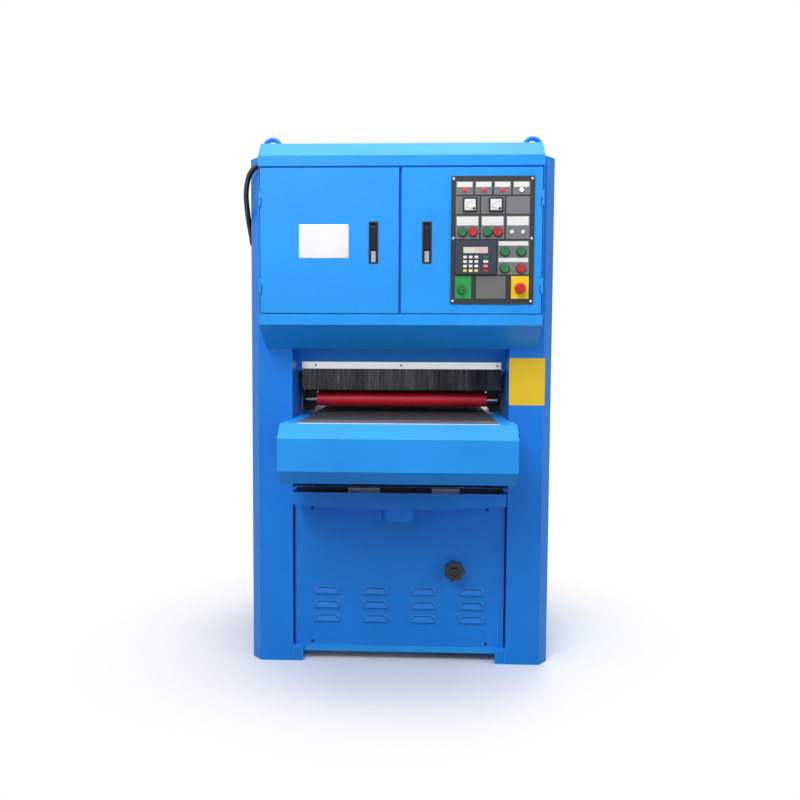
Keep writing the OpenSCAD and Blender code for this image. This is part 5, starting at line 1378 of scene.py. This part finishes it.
@dataclass
class Conduit:
    """The ribbed conduit from the cabinet's side to the left column's front.

    Attributes:
        route: the points of its middle line, as in the part's source.
        diameter: over its ribs.
        rib: how deep each groove is.
        pitch: the distance between two grooves.
        per_span: rings between two points of the route.
    """

    route: tuple[tuple[float, float, float], ...] = (
        (-498, -270, 1806), (-508, -270, 1806), (-519, -268, 1801), (-530, -265, 1793),
        (-540, -261, 1781), (-548, -256, 1765), (-554, -250, 1745), (-558, -245, 1722),
        (-560, -238, 1698), (-560, -228, 1674), (-560, -215, 1652), (-560, -200, 1631),
        (-560, -184, 1612), (-560, -167, 1595), (-560, -150, 1580), (-560, -134, 1567))
    diameter: float = 20
    rib: float = 1.5
    pitch: float = 4.0
    per_span: int = 28

    def build(self) -> None:
        """Sweeps the tube; its radius falls into a groove once in each pitch."""
        path = smooth_path(np.array(self.route, float), self.per_span)
        along = np.concatenate([[0], np.cumsum(np.linalg.norm(np.diff(path, axis=0), axis=1))])
        wave = 0.5 + 0.5 * np.cos(along / self.pitch * 2 * math.pi)
        radii = self.diameter / 2 - self.rib * (1 - wave ** 0.6)
        tube = piece("ribbed_conduit", sweep(path, radii, 18), Body.FRAME, "black_rubber",
                     "black_plastic", smooth_deg=60)
        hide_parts("conduit")


@dataclass
class Studio:
    """The pale floor, the white surround, the soft lamps and the camera.

    Attributes:
        floor_d: the floor's diameter in millimetres.
        fade: how far out the floor starts to turn white and is white, in metres.
        world: the strength of the surround's light on the object.
        sky: the colour of that light.
        aim: the point that the lamps look at.
        lamps: each lamp's name, place, watts and size.
        lens_mm, shift: the camera's lens and shift, fitted to the photograph.
        seat: the camera's place.
        turns: its yaw, pitch and roll in radians.
    """

    floor_d: float = 16000
    fade: tuple[float, float] = (0.6, 1.3)
    world: float = 0.46
    sky: Colour = (0.95, 0.97, 1.0)
    aim: tuple[float, float, float] = (0.0, 0.0, 1.0)
    lamps: tuple[tuple[str, tuple[float, float, float], float, float], ...] = (
        ("key_lamp", (-1.3, -3.4, 4.0), 112, 2.2), ("fill_lamp", (3.6, -2.6, 2.4), 30, 2.2),
        ("top_lamp", (0.2, -0.4, 4.6), 72, 3.0), ("back_lamp", (1.5, 4.2, 2.6), 60, 2.6))
    lens_mm: float = 37.82
    shift: tuple[float, float] = (0.0205, 0.0136)
    seat: tuple[float, float, float] = (0.0641, -3.2927, 1.1426)
    turns: tuple[float, float, float] = (0.0407, 0.0686, 0.0047)

    def floor(self) -> None:
        """Lays a pale floor that turns white for the camera beyond the object's shadow."""
        paint = Paint("pale_floor", {"Roughness": 0.75})
        seen = paint.seen_rays()
        pale = paint.mix(paint.noise(900), srgb(244, 245, 246), srgb(249, 249, 250))
        paint.feed("Base Color", paint.mix(seen, srgb(150, 151, 153), pale))
        outline = circle(self.floor_d, 64)
        rings = np.stack([np.column_stack([outline, np.full(64, z)]) for z in (-6.0, 0.0)])
        add_object("studio_floor", loft(rings), paint.material)
        where = paint.node("ShaderNodeTexCoord", {}, (), "Object")
        far = paint.node("ShaderNodeVectorMath", {"operation": "LENGTH"}, [where], "Value")
        span = 5.0           # metres that the ramp's whole length stands for
        mask = seen * paint.ramp(far * (1 / span), [(self.fade[0] / span, 0.0),
                                                    (self.fade[1] / span, 1.0)])
        paint.finish(mask, Expr(paint, paint.shader.outputs[0]),
                     paint.node("ShaderNodeEmission", {}, [WHITE, 1.0]))

    def surround(self) -> None:
        """Makes the world white to the camera and to gloss, and plain to the rest."""
        world = bpy.data.worlds.new("studio_surround")
        bpy.context.scene.world = world
        world.use_nodes = True
        world.node_tree.nodes.clear()
        world.node_tree.nodes.new("ShaderNodeOutputWorld")
        sky = Nodes(world.node_tree)
        sky.finish(sky.seen_rays(),
                   sky.node("ShaderNodeBackground", {}, [(*self.sky, 1), self.world]),
                   sky.node("ShaderNodeBackground", {}, [WHITE, 1.0]))

    def lamp(self, name: str, at: Sequence[float], watts: float, size: float) -> None:
        """Hangs a square soft lamp that looks at the machine's middle."""
        light = bpy.data.lights.new(name, "AREA")
        light.energy = watts
        light.size = size
        made = bpy.data.objects.new(name, light)
        bpy.context.scene.collection.objects.link(made)
        made.location = at
        aim = np.array(self.aim) - np.array(at)
        flat = math.hypot(aim[0], aim[1])
        made.rotation_euler = (math.atan2(flat, -aim[2]), 0, math.atan2(-aim[0], aim[1]))

    def camera(self) -> None:
        """Sets the camera as it was fitted to the photograph."""
        lens = bpy.data.cameras.new("photo_camera")
        lens.lens = self.lens_mm
        lens.sensor_width = 36
        lens.shift_x, lens.shift_y = self.shift
        made = bpy.data.objects.new("photo_camera", lens)
        bpy.context.scene.collection.objects.link(made)
        made.location = self.seat
        yaw, pitch, roll = self.turns
        made.rotation_mode = "QUATERNION"
        made.rotation_quaternion = (Quaternion((0, 0, 1), yaw)
                                    @ Quaternion((1, 0, 0), math.pi / 2 - pitch)
                                    @ Quaternion((0, 0, 1), roll))
        bpy.context.scene.camera = made

    def build(self) -> None:
        """Builds the stage."""
        bpy.context.scene.view_settings.view_transform = "Standard"
        self.floor()
        self.surround()
        for lamp in self.lamps:
            self.lamp(*lamp)
        self.camera()


def main() -> None:
    """Dresses the machine and sets the stage."""
    logging.basicConfig(level=logging.INFO, format="%(name)s: %(message)s")
    Studio().build()
    dress_nodes()
    for part in (Cabinet(), ControlPanel(), BrushCurtain(), ConveyorTable(), LowerFront(),
                 OuterCovers(), Conduit()):
        part.build()


if __name__ == "__main__":
    main()
